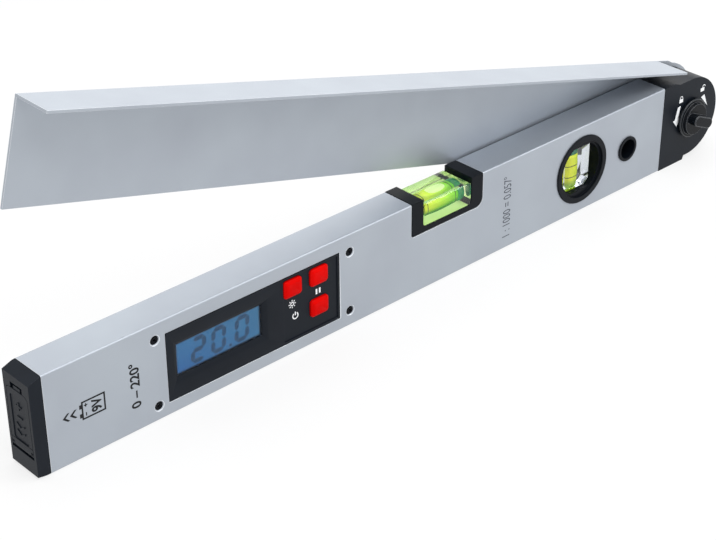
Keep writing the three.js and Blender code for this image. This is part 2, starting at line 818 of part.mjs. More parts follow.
function displayPockets() {
  return [
    displayBox(0, [frontFace + displayBevelDepth - seatGap, paneFront]),
    displayBox(windowPaneLip + seatGap, [paneFront - seatGap, lcdFront]),
    displayBox(lcdBorder + seatGap, [lcdFront - seatGap, backFace]),
  ];
}

function buttonOutline(button, grow) {
  const halfWidth = buttonWidth / 2 + grow;
  const halfHeight = buttonHeight / 2 + grow;
  return roundedRectangle(
    button.x - halfWidth,
    button.x + halfWidth,
    button.z - halfHeight,
    button.z + halfHeight,
    Math.max(buttonCornerRadius + grow, 0),
  );
}

// A keycap: a crowned head, a straight body and a flange that keeps it behind the bezel
function makeButton(button) {
  const top = frontFace - buttonProud;
  const flangeFace = flangeBack + seatGap;
  const flange = extrudeAlongY(
    buttonOutline(button, buttonFlangeWidth),
    [flangeFace, flangeFace + buttonFlangeThickness],
  );
  const crowned = new THREE.ExtrudeGeometry(buttonOutline(button, -buttonCrown), {
    depth: flangeFace + buttonFlangeThickness - top - 2 * buttonCrown,
    bevelSize: buttonCrown,
    bevelThickness: buttonCrown,
    bevelSegments: 2,
    curveSegments: cornerSegments,
  });
  const back = flangeFace + buttonFlangeThickness - buttonCrown;
  const body = crowned.rotateX(Math.PI / 2).translate(0, back, 0);
  return join(flange, solidOf(body));
}

function makeSwitch(button) {
  const half = switchSize / 2;
  const base = boardFront - seatGap;
  const body = [base - switchHeight, base];
  return join(
    box([button.x - half, button.x + half], body, [button.z - half, button.z + half]),
    rod(
      switchPlungerRadius,
      [base - switchHeight - switchPlungerHeight, base - switchHeight / 2],
      'y',
      [button.x, 0, button.z],
    ),
  );
}

const guideTop = visibleDisplay.top + lcdBorder - stripWidth - fitGap;

function makeLightGuide() {
  return box(
    [visibleDisplay.left - lcdBorder, visibleDisplay.right + lcdBorder],
    [lcdBack + seatGap, Math.min(lcdBack + seatGap + lightGuideThickness, boardFront - seatGap)],
    [visibleDisplay.bottom - lcdBorder, guideTop],
  );
}

function makeStrip() {
  return box(
    [visibleDisplay.left, visibleDisplay.right],
    [lcdBack + seatGap, boardFront - seatGap],
    [guideTop + fitGap, guideTop + fitGap + stripWidth],
  );
}

function makeBoard() {
  return box(boardEnds, [boardFront, boardBack], boardHeights);
}

function makeChip() {
  const x = (boardEnds[0] + boardEnds[1]) / 2 + chipBeyondBoardCentre;
  return box(
    [x - chipSize / 2, x + chipSize / 2],
    [boardBack + seatGap, boardBack + seatGap + chipThickness],
    [midHeight - chipSize / 2, midHeight + chipSize / 2],
  );
}

// A U-shaped holder that fills the notch, with lips that lock it behind the tube's walls
const vialWindowRadii = [vialWindowLeftRadius, vialWindowRightRadius, 0, 0];

function makeVialFrame() {
  const windowLeft = notchLeft + vialUprightWidth;
  const windowRight = notchRight - vialUprightWidth;
  const floor = notchBottom + vialFloorHeight;
  const lips = box(
    [notchLeft - vialLip, notchRight + vialLip],
    [innerFront + fitGap, innerBack - fitGap],
    [notchBottom - vialLip, innerTop - fitGap],
  );
  const open = roundedRectangle(windowLeft, windowRight, floor, tubeHeight + overrun, vialWindowRadii);
  const openWindow = extrudeAlongY(open, [frontFace - overrun, backFace + overrun]);
  const outline = roundedRectangle(
    notchLeft,
    notchRight,
    notchBottom,
    tubeHeight,
    [notchLeftRadius, notchRightRadius, 0, 0],
  );
  return cut(join(extrudeAlongY(outline, [frontFace, backFace]), lips), openWindow);
}

function makeVialBlock() {
  const left = notchLeft + vialUprightWidth + seatGap;
  const right = notchRight - vialUprightWidth - seatGap;
  const bottom = notchBottom + vialFloorHeight + seatGap;
  const top = tubeHeight - vialBlockBelowTop;
  const front = frontFace + seatGap;
  const back = backFace - seatGap;
  const section = polygon([
    [front, bottom],
    [back, bottom],
    [back, top - vialBlockChamfer],
    [back - vialBlockChamfer, top],
    [front + vialBlockChamfer, top],
    [front, top - vialBlockChamfer],
  ]);
  const bore = rod(
    vialBarrelRadius + fitGap,
    [left - overrun, right + overrun],
    'x',
    [0, 0, (bottom + top) / 2],
    mediumSegments,
  );
  const outline = extrudeAlongY(roundedRectangle(left, right, bottom, top, vialWindowRadii), [front, back]);
  return cut(extrudeAlongX(section, [left, right]).intersect(outline), bore);
}

// A vial's barrel swells slightly towards its middle, so that the bubble finds the highest place
function barrel(radius, endRadius, length, axis, centre) {
  const half = length / 2;
  const rounding = endRadius / 4;
  return turned([
    [0, -half],
    [endRadius - rounding, -half],
    [endRadius, -half + rounding],
    [(radius + endRadius) / 2, -half / 2],
    [radius, 0],
    [(radius + endRadius) / 2, half / 2],
    [endRadius, half - rounding],
    [endRadius - rounding, half],
    [0, half],
  ], axis, centre, smallSegments);
}

function makeHorizontalCapsule() {
  const bottom = notchBottom + vialFloorHeight + seatGap;
  const middle = (bottom + tubeHeight - vialBlockBelowTop) / 2;
  return barrel(vialBarrelRadius, vialBarrelEndRadius, vialBarrelLength, 'x', [notchMiddle, 0, middle]);
}

// One half of the round window's ring: a flange on the outside and a body that reaches the middle
function makeRing(side) {
  const face = side < 0 ? frontFace : backFace;
  const proud = side < 0 ? ringFrontProud : ringRearProud;
  const place = [ringPlace.x, 0, ringPlace.z];
  const outer = face + side * (proud + seatGap);
  const profile = [
    [ringStepRadius, outer],
    [ringFlangeRadius - proud / 2, outer],
    [ringFlangeRadius, outer - (side * proud) / 2],
    [ringFlangeRadius, face + side * seatGap],
    [ringBodyRadius, face + side * seatGap],
    [ringBodyRadius, side * seatGap],
    [0, side * seatGap],
    [0, outer],
    [ringStepRadius, outer],
  ];
  const closed = side < 0 ? profile.slice(0, -1) : profile.slice(0, -1).reverse();
  const start = closed.findIndex(([radius]) => radius === 0);
  const ordered = [...closed.slice(start), ...closed.slice(0, start)];
  const started = ordered[1][0] === 0 ? [...ordered.slice(1), ordered[0]] : ordered;
  const body = turned(started, 'y', place, fineSegments);
  const step = rod(
    ringStepRadius,
    [outer - side * ringStepDepth, outer + side * overrun].sort((a, b) => a - b),
    'y',
    place,
    fineSegments,
  );
  const bore = rod(ringBoreRadius, [frontFace - overrun, backFace + overrun], 'y', place, fineSegments);
  const seats = box(
    [ringPlace.x - ringBoreRadius, ringPlace.x + ringBoreRadius],
    [frontFace - overrun, backFace + overrun],
    [ringPlace.z - ringSeatHalfHeight, ringPlace.z + ringSeatHalfHeight],
  );
  return cut(body, step, bore.intersect(seats));
}

const uprightBlockHalfHeight = ringSeatHalfHeight - seatGap;

function makeUprightBlock() {
  const halfWidth = uprightBlockWidth / 2;
  const halfThickness = uprightBlockThickness / 2;
  return cut(
    box(
      [ringPlace.x - halfWidth, ringPlace.x + halfWidth],
      [-halfThickness, halfThickness],
      [ringPlace.z - uprightBlockHalfHeight, ringPlace.z + uprightBlockHalfHeight],
    ),
    rod(
      uprightBarrelRadius + fitGap,
      [-uprightBlockHalfHeight - overrun, uprightBlockHalfHeight + overrun],
      'z',
      [ringPlace.x, 0, ringPlace.z],
      mediumSegments,
    ),
  );
}

function makeUprightCapsule() {
  const endRadius = (uprightBarrelRadius * vialBarrelEndRadius) / vialBarrelRadius;
  return barrel(uprightBarrelRadius, endRadius, uprightBarrelLength, 'z', [ringPlace.x, 0, ringPlace.z]);
}

function makeGrommet(side) {
  const face = side < 0 ? frontFace : backFace;
  const proud = side < 0 ? ringFrontProud : ringRearProud;
  const place = [grommetPlace.x, 0, grommetPlace.z];
  const flange = [face + side * seatGap, face + side * (seatGap + proud)].sort((a, b) => a - b);
  const body = [side * seatGap, face + side * (seatGap + proud / 2)].sort((a, b) => a - b);
  return cut(
    join(
      rod(grommetFlangeRadius, flange, 'y', place, mediumSegments),
      rod(grommetBodyRadius, body, 'y', place, mediumSegments),
    ),
    rod(grommetBoreRadius, [frontFace - overrun, backFace + overrun], 'y', place, mediumSegments),
  );
}

// The head seen from the front: level with the tube at the left, round about the hinge at the right
function headOutline() {
  const left = tubeLength + fitGap;
  const top = hinge.z + headEndRadius;
  const shoulder = tubeHeight - headTopRelief;
  const shape = new THREE.Shape();
  shape.moveTo(left, 0);
  shape.lineTo(hinge.x - hingeReach / 7, 0);
  shape.lineTo(hinge.x - hingeReach / 9, headUndercut);
  shape.lineTo(hinge.x, headUndercut);
  shape.absarc(hinge.x, hinge.z, headEndRadius, -Math.PI / 2, Math.PI / 2);
  shape.lineTo(tubeLength + headTopStep + headTopRamp, top);
  shape.lineTo(tubeLength + headTopStep, shoulder);
  shape.lineTo(left, shoulder);
  return shape;
}

// The encoder's boss ends just behind the sensor board's screws
const bossStack = boardThickness + sensorScrewHeadHeight + encoderThickness;
const bossEnd = pocketBottom + seatGap + bossStack + 4 * fitGap;
const stopFreeFrom = stopLugClosedAngle + stopLugHalfAngle + stopPlayAngle;
const stopFreeTo = stopLugClosedAngle - armFullAngle - stopLugHalfAngle - stopPlayAngle;
const sensorScrewAngles = [90, 270];
// The sensor board's screws sit at this share of the way from its hole to its rim
const sensorScrewShare = 0.423;
const sensorBoardRim = sensorBoardRadius - sensorBoardHoleRadius;
const sensorScrewPlace = sensorBoardHoleRadius + sensorScrewShare * sensorBoardRim;
const sensorBoardBack = pocketBottom + seatGap + boardThickness;

function sensorScrewSpot(angle) {
  const turn = THREE.MathUtils.degToRad(angle);
  return { x: hinge.x + sensorScrewPlace * Math.cos(turn), z: hinge.z + sensorScrewPlace * Math.sin(turn) };
}

// The head: a block with the sensor's pocket open to the back, the arm's stop, and a tongue for the tube
function makeHead() {
  const centre = [hinge.x, 0, hinge.z];
  const block = extrudeAlongY(headOutline(), [frontFace, headBack], fineSegments / 2);
  const tongue = box(
    [tongueStart, tubeLength + 2 * fitGap],
    [innerFront + fitGap, innerBack - fitGap],
    [tubeWall + fitGap, innerTop - fitGap],
  );
  const swingSpan = [hubFront - fitGap, backFace + overrun];
  const hubSwing = rod(hubRadius + 2 * fitGap, swingSpan, 'y', centre, fineSegments);
  const pocket = rod(pocketRadius, [pocketBottom, backFace + overrun], 'y', centre, mediumSegments);
  const stop = sector(
    hinge,
    stopInnerRadius,
    pocketRadius + fitGap,
    stopFreeFrom,
    stopFreeTo + 360,
    [headBack - stopDepth, headBack - seatGap],
  );
  const grooveSpan = [headBack - frictionGrooveDepth, headBack + overrun];
  const washerSpan = [frontFace - overrun, frontFace + washerRecessDepth];
  const groove = cut(
    rod(frictionRingOuter + fitGap, grooveSpan, 'y', centre, mediumSegments),
    rod(frictionRingInner - fitGap, [frontFace, backFace], 'y', centre, mediumSegments),
  );
  const ductMiddle = pocketBottom + fitGap + cableDuct / 2;
  const duct = box(
    [tongueStart - overrun, hinge.x - pocketRadius / 2],
    [ductMiddle - cableDuct / 2, ductMiddle + cableDuct / 2],
    [ductHeight - cableDuct / 2, ductHeight + cableDuct / 2],
  );
  return cut(
    join(cut(join(block, tongue), hubSwing, pocket), stop),
    groove,
    duct,
    rod(washerRadius + fitGap, washerSpan, 'y', centre, mediumSegments),
    rod(boltRadius + fitGap, [frontFace - overrun, backFace + overrun], 'y', centre),
    ...sensorScrewAngles.map((angle) => {
      const spot = sensorScrewSpot(angle);
      const hole = [sensorBoardBack - sensorScrewLength - fitGap, sensorBoardBack];
      return rod(sensorScrewRadius + fitGap, hole, 'y', [spot.x, 0, spot.z]);
    }),
    ...headScrewHeights.map((z) => countersunkHole(headScrewX, backFace, z, -1)),
  );
}

function makeSensorBoard() {
  const centre = [hinge.x, 0, hinge.z];
  return cut(
    rod(sensorBoardRadius, [pocketBottom + seatGap, sensorBoardBack], 'y', centre, mediumSegments),
    rod(sensorBoardHoleRadius, [frontFace, backFace], 'y', centre),
    ...sensorScrewAngles.map((angle) => {
      const spot = sensorScrewSpot(angle);
      return rod(sensorScrewRadius + fitGap, [frontFace, backFace], 'y', [spot.x, 0, spot.z]);
    }),
  );
}

function makeSensorScrew(angle) {
  const spot = sensorScrewSpot(angle);
  const headFrom = sensorBoardBack + seatGap;
  const shankSpan = [sensorBoardBack - sensorScrewLength, headFrom + seatGap];
  return join(
    rod(sensorScrewHeadRadius, [headFrom, headFrom + sensorScrewHeadHeight], 'y', [spot.x, 0, spot.z]),
    rod(sensorScrewRadius, shankSpan, 'y', [spot.x, 0, spot.z]),
  );
}

// The sensor's cable runs through the head's duct, under the vertical vial and up to the circuit board
function makeSensorCable() {
  const y = pocketBottom + fitGap + cableDuct / 2;
  const low = (tubeWall + ringPlace.z - ringBodyRadius) / 2;
  const underRing = [ringPlace.x - ringFlangeRadius, ringPlace.x + ringFlangeRadius];
  const behindBoard = boardBack + sensorCableRadius + fitGap;
  const rise = (underRing[0] + moduleEnd) / 2;
  return cable([
    [hinge.x - pocketRadius / 2 - fitGap, y, ductHeight],
    [tongueStart, y, ductHeight],
    [tongueStart - grommetBodyRadius, y, (ductHeight + low) / 2],
    [underRing[1], y, low],
    [underRing[0], y, low],
    [rise, behindBoard, low],
    [moduleEnd, behindBoard, low],
    [boardEnds[1] - leadOverlap, behindBoard, boardHeights[0] + leadOverlap / 2],
  ], sensorCableRadius, 48, 8);
}

// The arm is built closed, about the hinge axis, and then turned open as one group.
// Along the arm is -X, and its flange lies above.
const flangeUnder = tubeHeight + armFlangeGap - hinge.z;
const flangeTop = flangeUnder + armThickness;
const armWebHeight = tubeHeight - armWebShort;
const armReach = hinge.x + capLength;
const webEndRadius = flangeUnder;
const hubScrewAngles = [90, 210, 330];

function makeArmProfile() {
  const flangeFrontEdge = webBack - armFlangeDepth;
  const section = new THREE.Shape();
  section.moveTo(webFront, flangeTop - armWebHeight);
  section.lineTo(webBack, flangeTop - armWebHeight);
  section.lineTo(webBack, flangeTop - armEdgeRadius);
  section.absarc(webBack - armEdgeRadius, flangeTop - armEdgeRadius, armEdgeRadius, 0, Math.PI / 2);
  section.lineTo(flangeFrontEdge, flangeTop);
  section.lineTo(flangeFrontEdge, flangeUnder);
  section.lineTo(webFront, flangeUnder);
  const profile = extrudeAlongX(section, [-armReach, webEndRadius]);
  const flangeEnd = box(
    [-armFlangeStop, webEndRadius + overrun],
    [flangeFrontEdge - overrun, webFront],
    [flangeUnder - overrun, flangeTop + overrun],
  );
  const webCut = [webFront - overrun, webBack + overrun];
  const roundEnd = cut(
    box([0, webEndRadius + overrun], webCut, [-armWebHeight, armWebHeight]),
    rod(webEndRadius, [webFront - 2 * overrun, webBack + 2 * overrun], 'y', [0, 0, 0], fineSegments),
  );
  const slope = polygon([
    [-armEndSlope, flangeTop],
    [0, webEndRadius],
    [overrun, webEndRadius],
    [overrun, flangeTop + overrun],
    [-armEndSlope, flangeTop + overrun],
  ]);
  const neck = boltNeckSize / 2 + fitGap;
  return cut(
    profile,
    flangeEnd,
    roundEnd,
    extrudeAlongY(slope, webCut),
    box([-neck, neck], webCut, [-neck, neck]),
    ...hubScrewAngles.map((angle) => hubScrewHole(angle)),
  );
}

function hubScrewSpot(angle) {
  const turn = THREE.MathUtils.degToRad(angle);
  return { x: hubScrewPlace * Math.cos(turn), z: hubScrewPlace * Math.sin(turn) };
}

function hubScrewHole(angle) {
  const spot = hubScrewSpot(angle);
  return countersunkHole(spot.x, webBack, spot.z, -1, armThickness + hubScrewDepth);
}

// The hub: a disc under the web, a boss and spigot for the encoder disc, and a lug between the stops
function makeHub() {
  const origin = [0, 0, 0];
  const disc = rod(hubRadius, [hubFront, hubBack], 'y', origin, fineSegments);
  const boss = rod(bossRadius, [bossEnd, hubFront + seatGap], 'y', origin, mediumSegments);
  const spigotSpan = [bossEnd - spigotLength, bossEnd + seatGap];
  const spigot = rod(spigotRadius, spigotSpan, 'y', origin, mediumSegments);
  const lug = sector(
    { x: 0, z: 0 },
    stopInnerRadius + fitGap,
    pocketRadius - fitGap,
    stopLugClosedAngle - stopLugHalfAngle,
    stopLugClosedAngle + stopLugHalfAngle,
    [headBack - stopDepth + seatGap, hubFront + seatGap],
  );
  const neck = boltNeckSize / 2 + fitGap;
  return cut(
    join(disc, boss, spigot, lug),
    rod(boltRadius + fitGap, [frontFace, webBack], 'y', origin),
    box([-neck, neck], [hubBack - boltNeckLength + armWebGap, webBack], [-neck, neck]),
    ...hubScrewAngles.map((angle) => hubScrewHole(angle)),
  );
}

function makeEncoder() {
  const span = [bossEnd - fitGap - encoderThickness, bossEnd - fitGap];
  return cut(
    rod(encoderRadius, span, 'y', [0, 0, 0], mediumSegments),
    rod(spigotRadius + fitGap, [frontFace, backFace], 'y', [0, 0, 0], mediumSegments),
  );
}

const knobBack = frontFace + washerRecessDepth - seatGap - washerThickness - fitGap;
const knobDiscFace = knobBack - knobBaseHeight - knobDiscHeight;
const knobFace = knobDiscFace - knobGripHeight;
const insertBack = knobBack - seatGap;

function makeBolt() {
  const centre = [0, 0, 0];
  const headFrom = webBack + fitGap;
  const half = boltNeckSize / 2;
  return join(
    turned([
      [0, headFrom],
      [boltHeadRadius, headFrom],
      [boltHeadRadius, headFrom + boltHeadHeight / 3],
      [(boltHeadRadius * 2) / 3, headFrom + boltHeadHeight],
      [0, headFrom + boltHeadHeight],
    ], 'y', centre, mediumSegments),
    box([-half, half], [webBack - boltNeckLength, headFrom + seatGap], [-half, half]),
    rod(boltRadius, [insertBack - insertLength + fitGap, headFrom], 'y', centre),
  );
}

function makeWasher() {
  const back = frontFace + washerRecessDepth - seatGap;
  const centre = [hinge.x, 0, hinge.z];
  return cut(
    rod(washerRadius, [back - washerThickness, back], 'y', centre, mediumSegments),
    rod(boltRadius + fitGap, [frontFace - washerThickness - overrun, backFace], 'y', centre),
  );
}

function makeFrictionRing() {
  const floor = headBack - frictionGrooveDepth + fitGap;
  const centre = [hinge.x, 0, hinge.z];
  return cut(
    rod(frictionRingOuter, [floor, hubFront - fitGap], 'y', centre, mediumSegments),
    rod(frictionRingInner, [frontFace, backFace], 'y', centre, mediumSegments),
  );
}

// The knob is built about the hinge axis and turned to its locked place as one group
function makeKnob() {
  const centre = [0, 0, 0];
  const baseFace = knobBack - knobBaseHeight;
  const rings = turned([
    [0, knobDiscFace],
    [knobDiscRadius - knobDraft, knobDiscFace],
    [knobDiscRadius, baseFace],
    [knobBaseRadius - knobDraft, baseFace],
    [knobBaseRadius, baseFace + knobDraft],
    [knobBaseRadius, knobBack],
    [0, knobBack],
  ], 'y', centre, fineSegments);
  const gripOutline = (inset) => roundedRectangle(
    -knobGripLength / 2 + inset,
    knobGripLength / 2 - inset,
    -knobGripWidth / 2 + inset,
    knobGripWidth / 2 - inset,
    knobGripWidth / 2 - inset - seatGap,
  );
  const gripBody = extrudeAlongY(gripOutline(0), [knobFace + knobDraft, knobDiscFace + seatGap]);
  const gripCrown = extrudeAlongY(gripOutline(knobDraft), [knobFace, knobFace + 2 * knobDraft]);
  return cut(
    join(rings, gripBody, gripCrown),
    rod(
      insertRadius + seatGap,
      [insertBack - insertLength - seatGap, knobBack + overrun],
      'y',
      centre,
      6,
    ),
  );
}

function makeInsert() {
  return cut(
    rod(insertRadius, [insertBack - insertLength, insertBack], 'y', [0, 0, 0], 6),
    rod(boltRadius + fitGap, [insertBack - insertLength - overrun, backFace], 'y', [0, 0, 0]),
  );
}

function makeBodyGroup() {
  const group = new THREE.Group();
  addPart(group, 'body_tube', makeTube(), materials.aluminium);
  addPart(group, 'end_cap', makeEndCap(), materials.blackPlastic);
  capScrewHeights.forEach((z, i) => {
    const screw = countersunkScrew(capScrewX, backFace, z, -1);
    addPart(group, `end_cap_screw_${i + 1}`, screw, materials.blackSteel);
  });
  const pinHalf = doorWidth / 2 + fitGap;
  addPart(
    group,
    'door_hinge_pin',
    rod(doorPinRadius, [-pinHalf, pinHalf], 'y', [doorAxis.x, 0, doorAxis.z]),
    materials.steel,
  );
  addPart(group, 'battery_door', makeDoor(), materials.blackPlastic);
  addPart(group, 'battery', makeBattery(), materials.steel);
  addPart(group, 'battery_cradle', makeCradle(), materials.blackPlastic);
  addPart(group, 'battery_contacts', makeContacts(), materials.blackPlastic);
  addPart(group, 'battery_lead_positive', makeLead(1), materials.redLead);
  addPart(group, 'battery_lead_negative', makeLead(-1), materials.blackPlastic);
  return group;
}

function makeDisplayGroup() {
  const group = new THREE.Group();
  addPart(group, 'display_bezel', makeBezel(), materials.blackPlastic);
  addPart(group, 'display_window', displayBox(windowPaneLip, [paneFront, paneBack]), materials.clear);
  addPart(group, 'lcd_panel', displayBox(lcdBorder, [lcdFront, lcdBack]), materials.display);
  addPart(group, 'light_guide', makeLightGuide(), materials.clear);
  addPart(group, 'lcd_connector_strip', makeStrip(), materials.redLead);
  addPart(group, 'circuit_board', makeBoard(), materials.board);
  addPart(group, 'controller_chip', makeChip(), materials.blackPlastic);
  buttons.forEach((button) => {
    addPart(group, `button_${button.name}`, makeButton(button), materials.redButton);
    addPart(group, `tact_switch_${button.name}`, makeSwitch(button), materials.blackPlastic);
  });
  bezelScrews.forEach((place, i) => {
    const screw = countersunkScrew(place.x, frontFace, place.z, 1);
    addPart(group, `bezel_screw_${i + 1}`, screw, materials.blackSteel);
  });
  return group;
}

function makeVialGroup() {
  const group = new THREE.Group();
  addPart(group, 'horizontal_vial_frame', makeVialFrame(), materials.blackPlastic);
  addPart(group, 'horizontal_vial_block', makeVialBlock(), materials.limeAcrylic);
  addPart(group, 'horizontal_vial_capsule', makeHorizontalCapsule(), materials.vialLiquid);
  addPart(group, 'vertical_vial_ring_front', makeRing(-1), materials.blackPlastic);
  addPart(group, 'vertical_vial_ring_rear', makeRing(1), materials.blackPlastic);
  addPart(group, 'vertical_vial_block', makeUprightBlock(), materials.clear);
  addPart(group, 'vertical_vial_capsule', makeUprightCapsule(), materials.vialLiquid);
  addPart(group, 'hanging_grommet_front', makeGrommet(-1), materials.blackPlastic);
  addPart(group, 'hanging_grommet_rear', makeGrommet(1), materials.blackPlastic);
  return group;
}

function makeHeadGroup() {
  const group = new THREE.Group();
  addPart(group, 'head_housing', makeHead(), materials.blackPlastic);
  headScrewHeights.forEach((z, i) => {
    const screw = countersunkScrew(headScrewX, backFace, z, -1);
    addPart(group, `head_screw_${i + 1}`, screw, materials.blackSteel);
  });
  addPart(group, 'sensor_board', makeSensorBoard(), materials.board);
  sensorScrewAngles.forEach((angle, i) => {
    addPart(group, `sensor_board_screw_${i + 1}`, makeSensorScrew(angle), materials.steel);
  });
  addPart(group, 'sensor_cable', makeSensorCable(), materials.blackPlastic);
  addPart(group, 'friction_ring', makeFrictionRing(), materials.fibre);
  addPart(group, 'thrust_washer', makeWasher(), materials.steel);
  return group;
}

function makeArmGroup() {
  const group = new THREE.Group();
  addPart(group, 'arm_profile', makeArmProfile(), materials.aluminium);
  addPart(group, 'arm_hub', makeHub(), materials.blackPlastic);
  hubScrewAngles.forEach((angle, i) => {
    const spot = hubScrewSpot(angle);
    const screw = countersunkScrew(spot.x, webBack, spot.z, -1, armThickness + hubScrewDepth);
    addPart(group, `hub_screw_${i + 1}`, screw, materials.blackSteel);
  });
  addPart(group, 'encoder_disc', makeEncoder(), materials.board);
  addPart(group, 'clamp_bolt', makeBolt(), materials.blackSteel);
  group.position.set(hinge.x, 0, hinge.z);
  group.rotation.y = THREE.MathUtils.degToRad(armOpenAngle);
  return group;
}

function makeKnobGroup() {
  const group = new THREE.Group();
  addPart(group, 'lock_knob', makeKnob(), materials.blackPlastic);
  addPart(group, 'knob_insert', makeInsert(), materials.brass);
  group.position.set(hinge.x, 0, hinge.z);
  group.rotation.y = THREE.MathUtils.degToRad(-knobGripAngle);
  return group;
}

const angleFinder = new THREE.Group();
angleFinder.add(makeBodyGroup(), makeDisplayGroup(), makeVialGroup());
angleFinder.add(makeHeadGroup(), makeArmGroup(), makeKnobGroup());
angleFinder.position.x = -tubeLength / 2;

export default angleFinder;
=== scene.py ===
import math
import bpy
import bmesh
from mathutils import Euler, Matrix, Vector


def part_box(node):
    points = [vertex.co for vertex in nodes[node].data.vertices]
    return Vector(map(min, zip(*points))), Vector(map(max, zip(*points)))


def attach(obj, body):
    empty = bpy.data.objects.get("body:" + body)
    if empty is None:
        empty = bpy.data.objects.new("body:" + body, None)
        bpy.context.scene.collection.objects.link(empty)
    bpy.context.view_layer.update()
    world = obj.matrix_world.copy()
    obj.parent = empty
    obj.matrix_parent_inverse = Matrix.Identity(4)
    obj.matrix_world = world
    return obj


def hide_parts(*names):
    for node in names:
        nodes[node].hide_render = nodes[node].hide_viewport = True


# Electronic angle finder with a folding arm. Sizes below are millimetres on the part,
# x counted from the middle of the tube, z from the ground, y from the tube's mid plane.
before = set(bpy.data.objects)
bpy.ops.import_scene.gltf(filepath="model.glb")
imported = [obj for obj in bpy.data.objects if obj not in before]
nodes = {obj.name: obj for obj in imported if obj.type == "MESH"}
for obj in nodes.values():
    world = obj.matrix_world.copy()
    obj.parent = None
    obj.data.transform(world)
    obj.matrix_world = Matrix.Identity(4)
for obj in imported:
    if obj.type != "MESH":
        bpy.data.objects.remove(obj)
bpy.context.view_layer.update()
scene = bpy.context.scene
mm = 0.001
print("frame loaded with", len(nodes), "nodes")


def toLinear(colour):
    # sRGB hex to the linear colour that the sockets take
    parts = [int(colour[i:i + 2], 16) / 255 for i in (1, 3, 5)]
    return tuple(p / 12.92 if p <= 0.04045 else ((p + 0.055) / 1.055) ** 2.4 for p in parts) + (1.0,)


def shade(colour, factor, lift=0.0):
    # the same hue, darker or lighter, in linear light
    return tuple(min(1.0, c * factor + lift) for c in toLinear(colour)[:3]) + (1.0,)


def addNode(tree, kind, settings=None, inputs=None, links=None):
    # one node with its settings, its socket values and the links that come into it
    node = tree.nodes.new(kind)
    for key, value in (settings or {}).items():
        setattr(node, key, value)
    for key, value in (inputs or {}).items():
        node.inputs[key].default_value = value
    for key, source in (links or {}).items():
        tree.links.new(source, node.inputs[key])
    return node


def startMaterial(name):
    material = bpy.data.materials.new(name)
    material.use_nodes = True
    material.node_tree.nodes.clear()
    return material, material.node_tree


# Camera, solved from the tube's straight edges: place in metres, turn in degrees
cameraValues = {
    "place": (-0.62688, -0.66083, 0.55725), "turn": (59.34, 0.316, -42.803),
    "lens": 90.885, "sensor": 36, "clip": (0.05, 20),
}

camera = bpy.data.objects.new("camera", bpy.data.cameras.new("camera"))
camera.data.sensor_width = cameraValues["sensor"]
camera.data.lens = cameraValues["lens"]
camera.data.clip_start, camera.data.clip_end = cameraValues["clip"]
camera.location = cameraValues["place"]
camera.rotation_euler = Euler([math.radians(a) for a in cameraValues["turn"]], "XYZ")
scene.collection.objects.link(camera)
scene.camera = camera
scene.view_settings.view_transform = "Standard"


# World and floor
def seenDirectly(tree):
    # 1 where the camera, a reflection or a look through glass meets the surface
    path = addNode(tree, "ShaderNodeLightPath")
    both = {0: path.outputs["Is Camera Ray"], 1: path.outputs["Is Glossy Ray"]}
    seen = addNode(tree, "ShaderNodeMath", {"operation": "MAXIMUM"}, links=both)
    both = {0: seen.outputs[0], 1: path.outputs["Is Transmission Ray"]}
    return addNode(tree, "ShaderNodeMath", {"operation": "MAXIMUM"}, links=both)


worldValues = {"ambient": 0.55, "backdrop": "#FFFFFF"}

world = bpy.data.worlds.new("studio")
world.use_nodes = True
scene.world = world
tree = world.node_tree
tree.nodes.clear()
level = addNode(
    tree, "ShaderNodeMapRange",
    inputs={"To Min": worldValues["ambient"], "To Max": 1.0},
    links={"Value": seenDirectly(tree).outputs[0]},
)
backdrop = addNode(
    tree, "ShaderNodeBackground",
    inputs={"Color": toLinear(worldValues["backdrop"])},
    links={"Strength": level.outputs[0]},
)
addNode(tree, "ShaderNodeOutputWorld", links={"Surface": backdrop.outputs[0]})

# size, near and far in metres from the part, below in millimetres
floorValues = {
    "size": 12.0, "below": 0.15, "paint": "#E8E8E8", "whiteShare": 0.75, "near": 0.7, "far": 1.8,
}

# the floor reads as white paper to the eye and in reflections, and keeps a soft shadow
material, tree = startMaterial("white paper floor")
place = addNode(tree, "ShaderNodeTexCoord")
away = addNode(
    tree, "ShaderNodeVectorMath", {"operation": "LENGTH"}, links={0: place.outputs["Object"]},
)
# beyond the shadow it fades into the backdrop
fade = addNode(
    tree, "ShaderNodeMapRange",
    inputs={
        "From Min": floorValues["near"], "From Max": floorValues["far"],
        "To Min": floorValues["whiteShare"], "To Max": 1.0,
    },
    links={"Value": away.outputs["Value"]},
)
share = addNode(
    tree, "ShaderNodeMath", {"operation": "MULTIPLY"},
    links={0: seenDirectly(tree).outputs[0], 1: fade.outputs[0]},
)
paper = addNode(tree, "ShaderNodeBsdfDiffuse", inputs={"Color": toLinear(floorValues["paint"])})
glow = addNode(tree, "ShaderNodeEmission", inputs={"Color": (1, 1, 1, 1), "Strength": 1.0})
parts = {0: share.outputs[0], 1: paper.outputs[0], 2: glow.outputs[0]}
mixed = addNode(tree, "ShaderNodeMixShader", links=parts)
addNode(tree, "ShaderNodeOutputMaterial", links={"Surface": mixed.outputs[0]})
half = floorValues["size"] / 2
floorCorners = [(-half, -half, 0), (half, -half, 0), (half, half, 0), (-half, half, 0)]
floorMesh = bpy.data.meshes.new("floor")
floorMesh.from_pydata(floorCorners, [], [(0, 1, 2, 3)])
floorMesh.materials.append(material)
floor = bpy.data.objects.new("floor", floorMesh)
floor.location.z = -floorValues["below"] * mm
scene.collection.objects.link(floor)

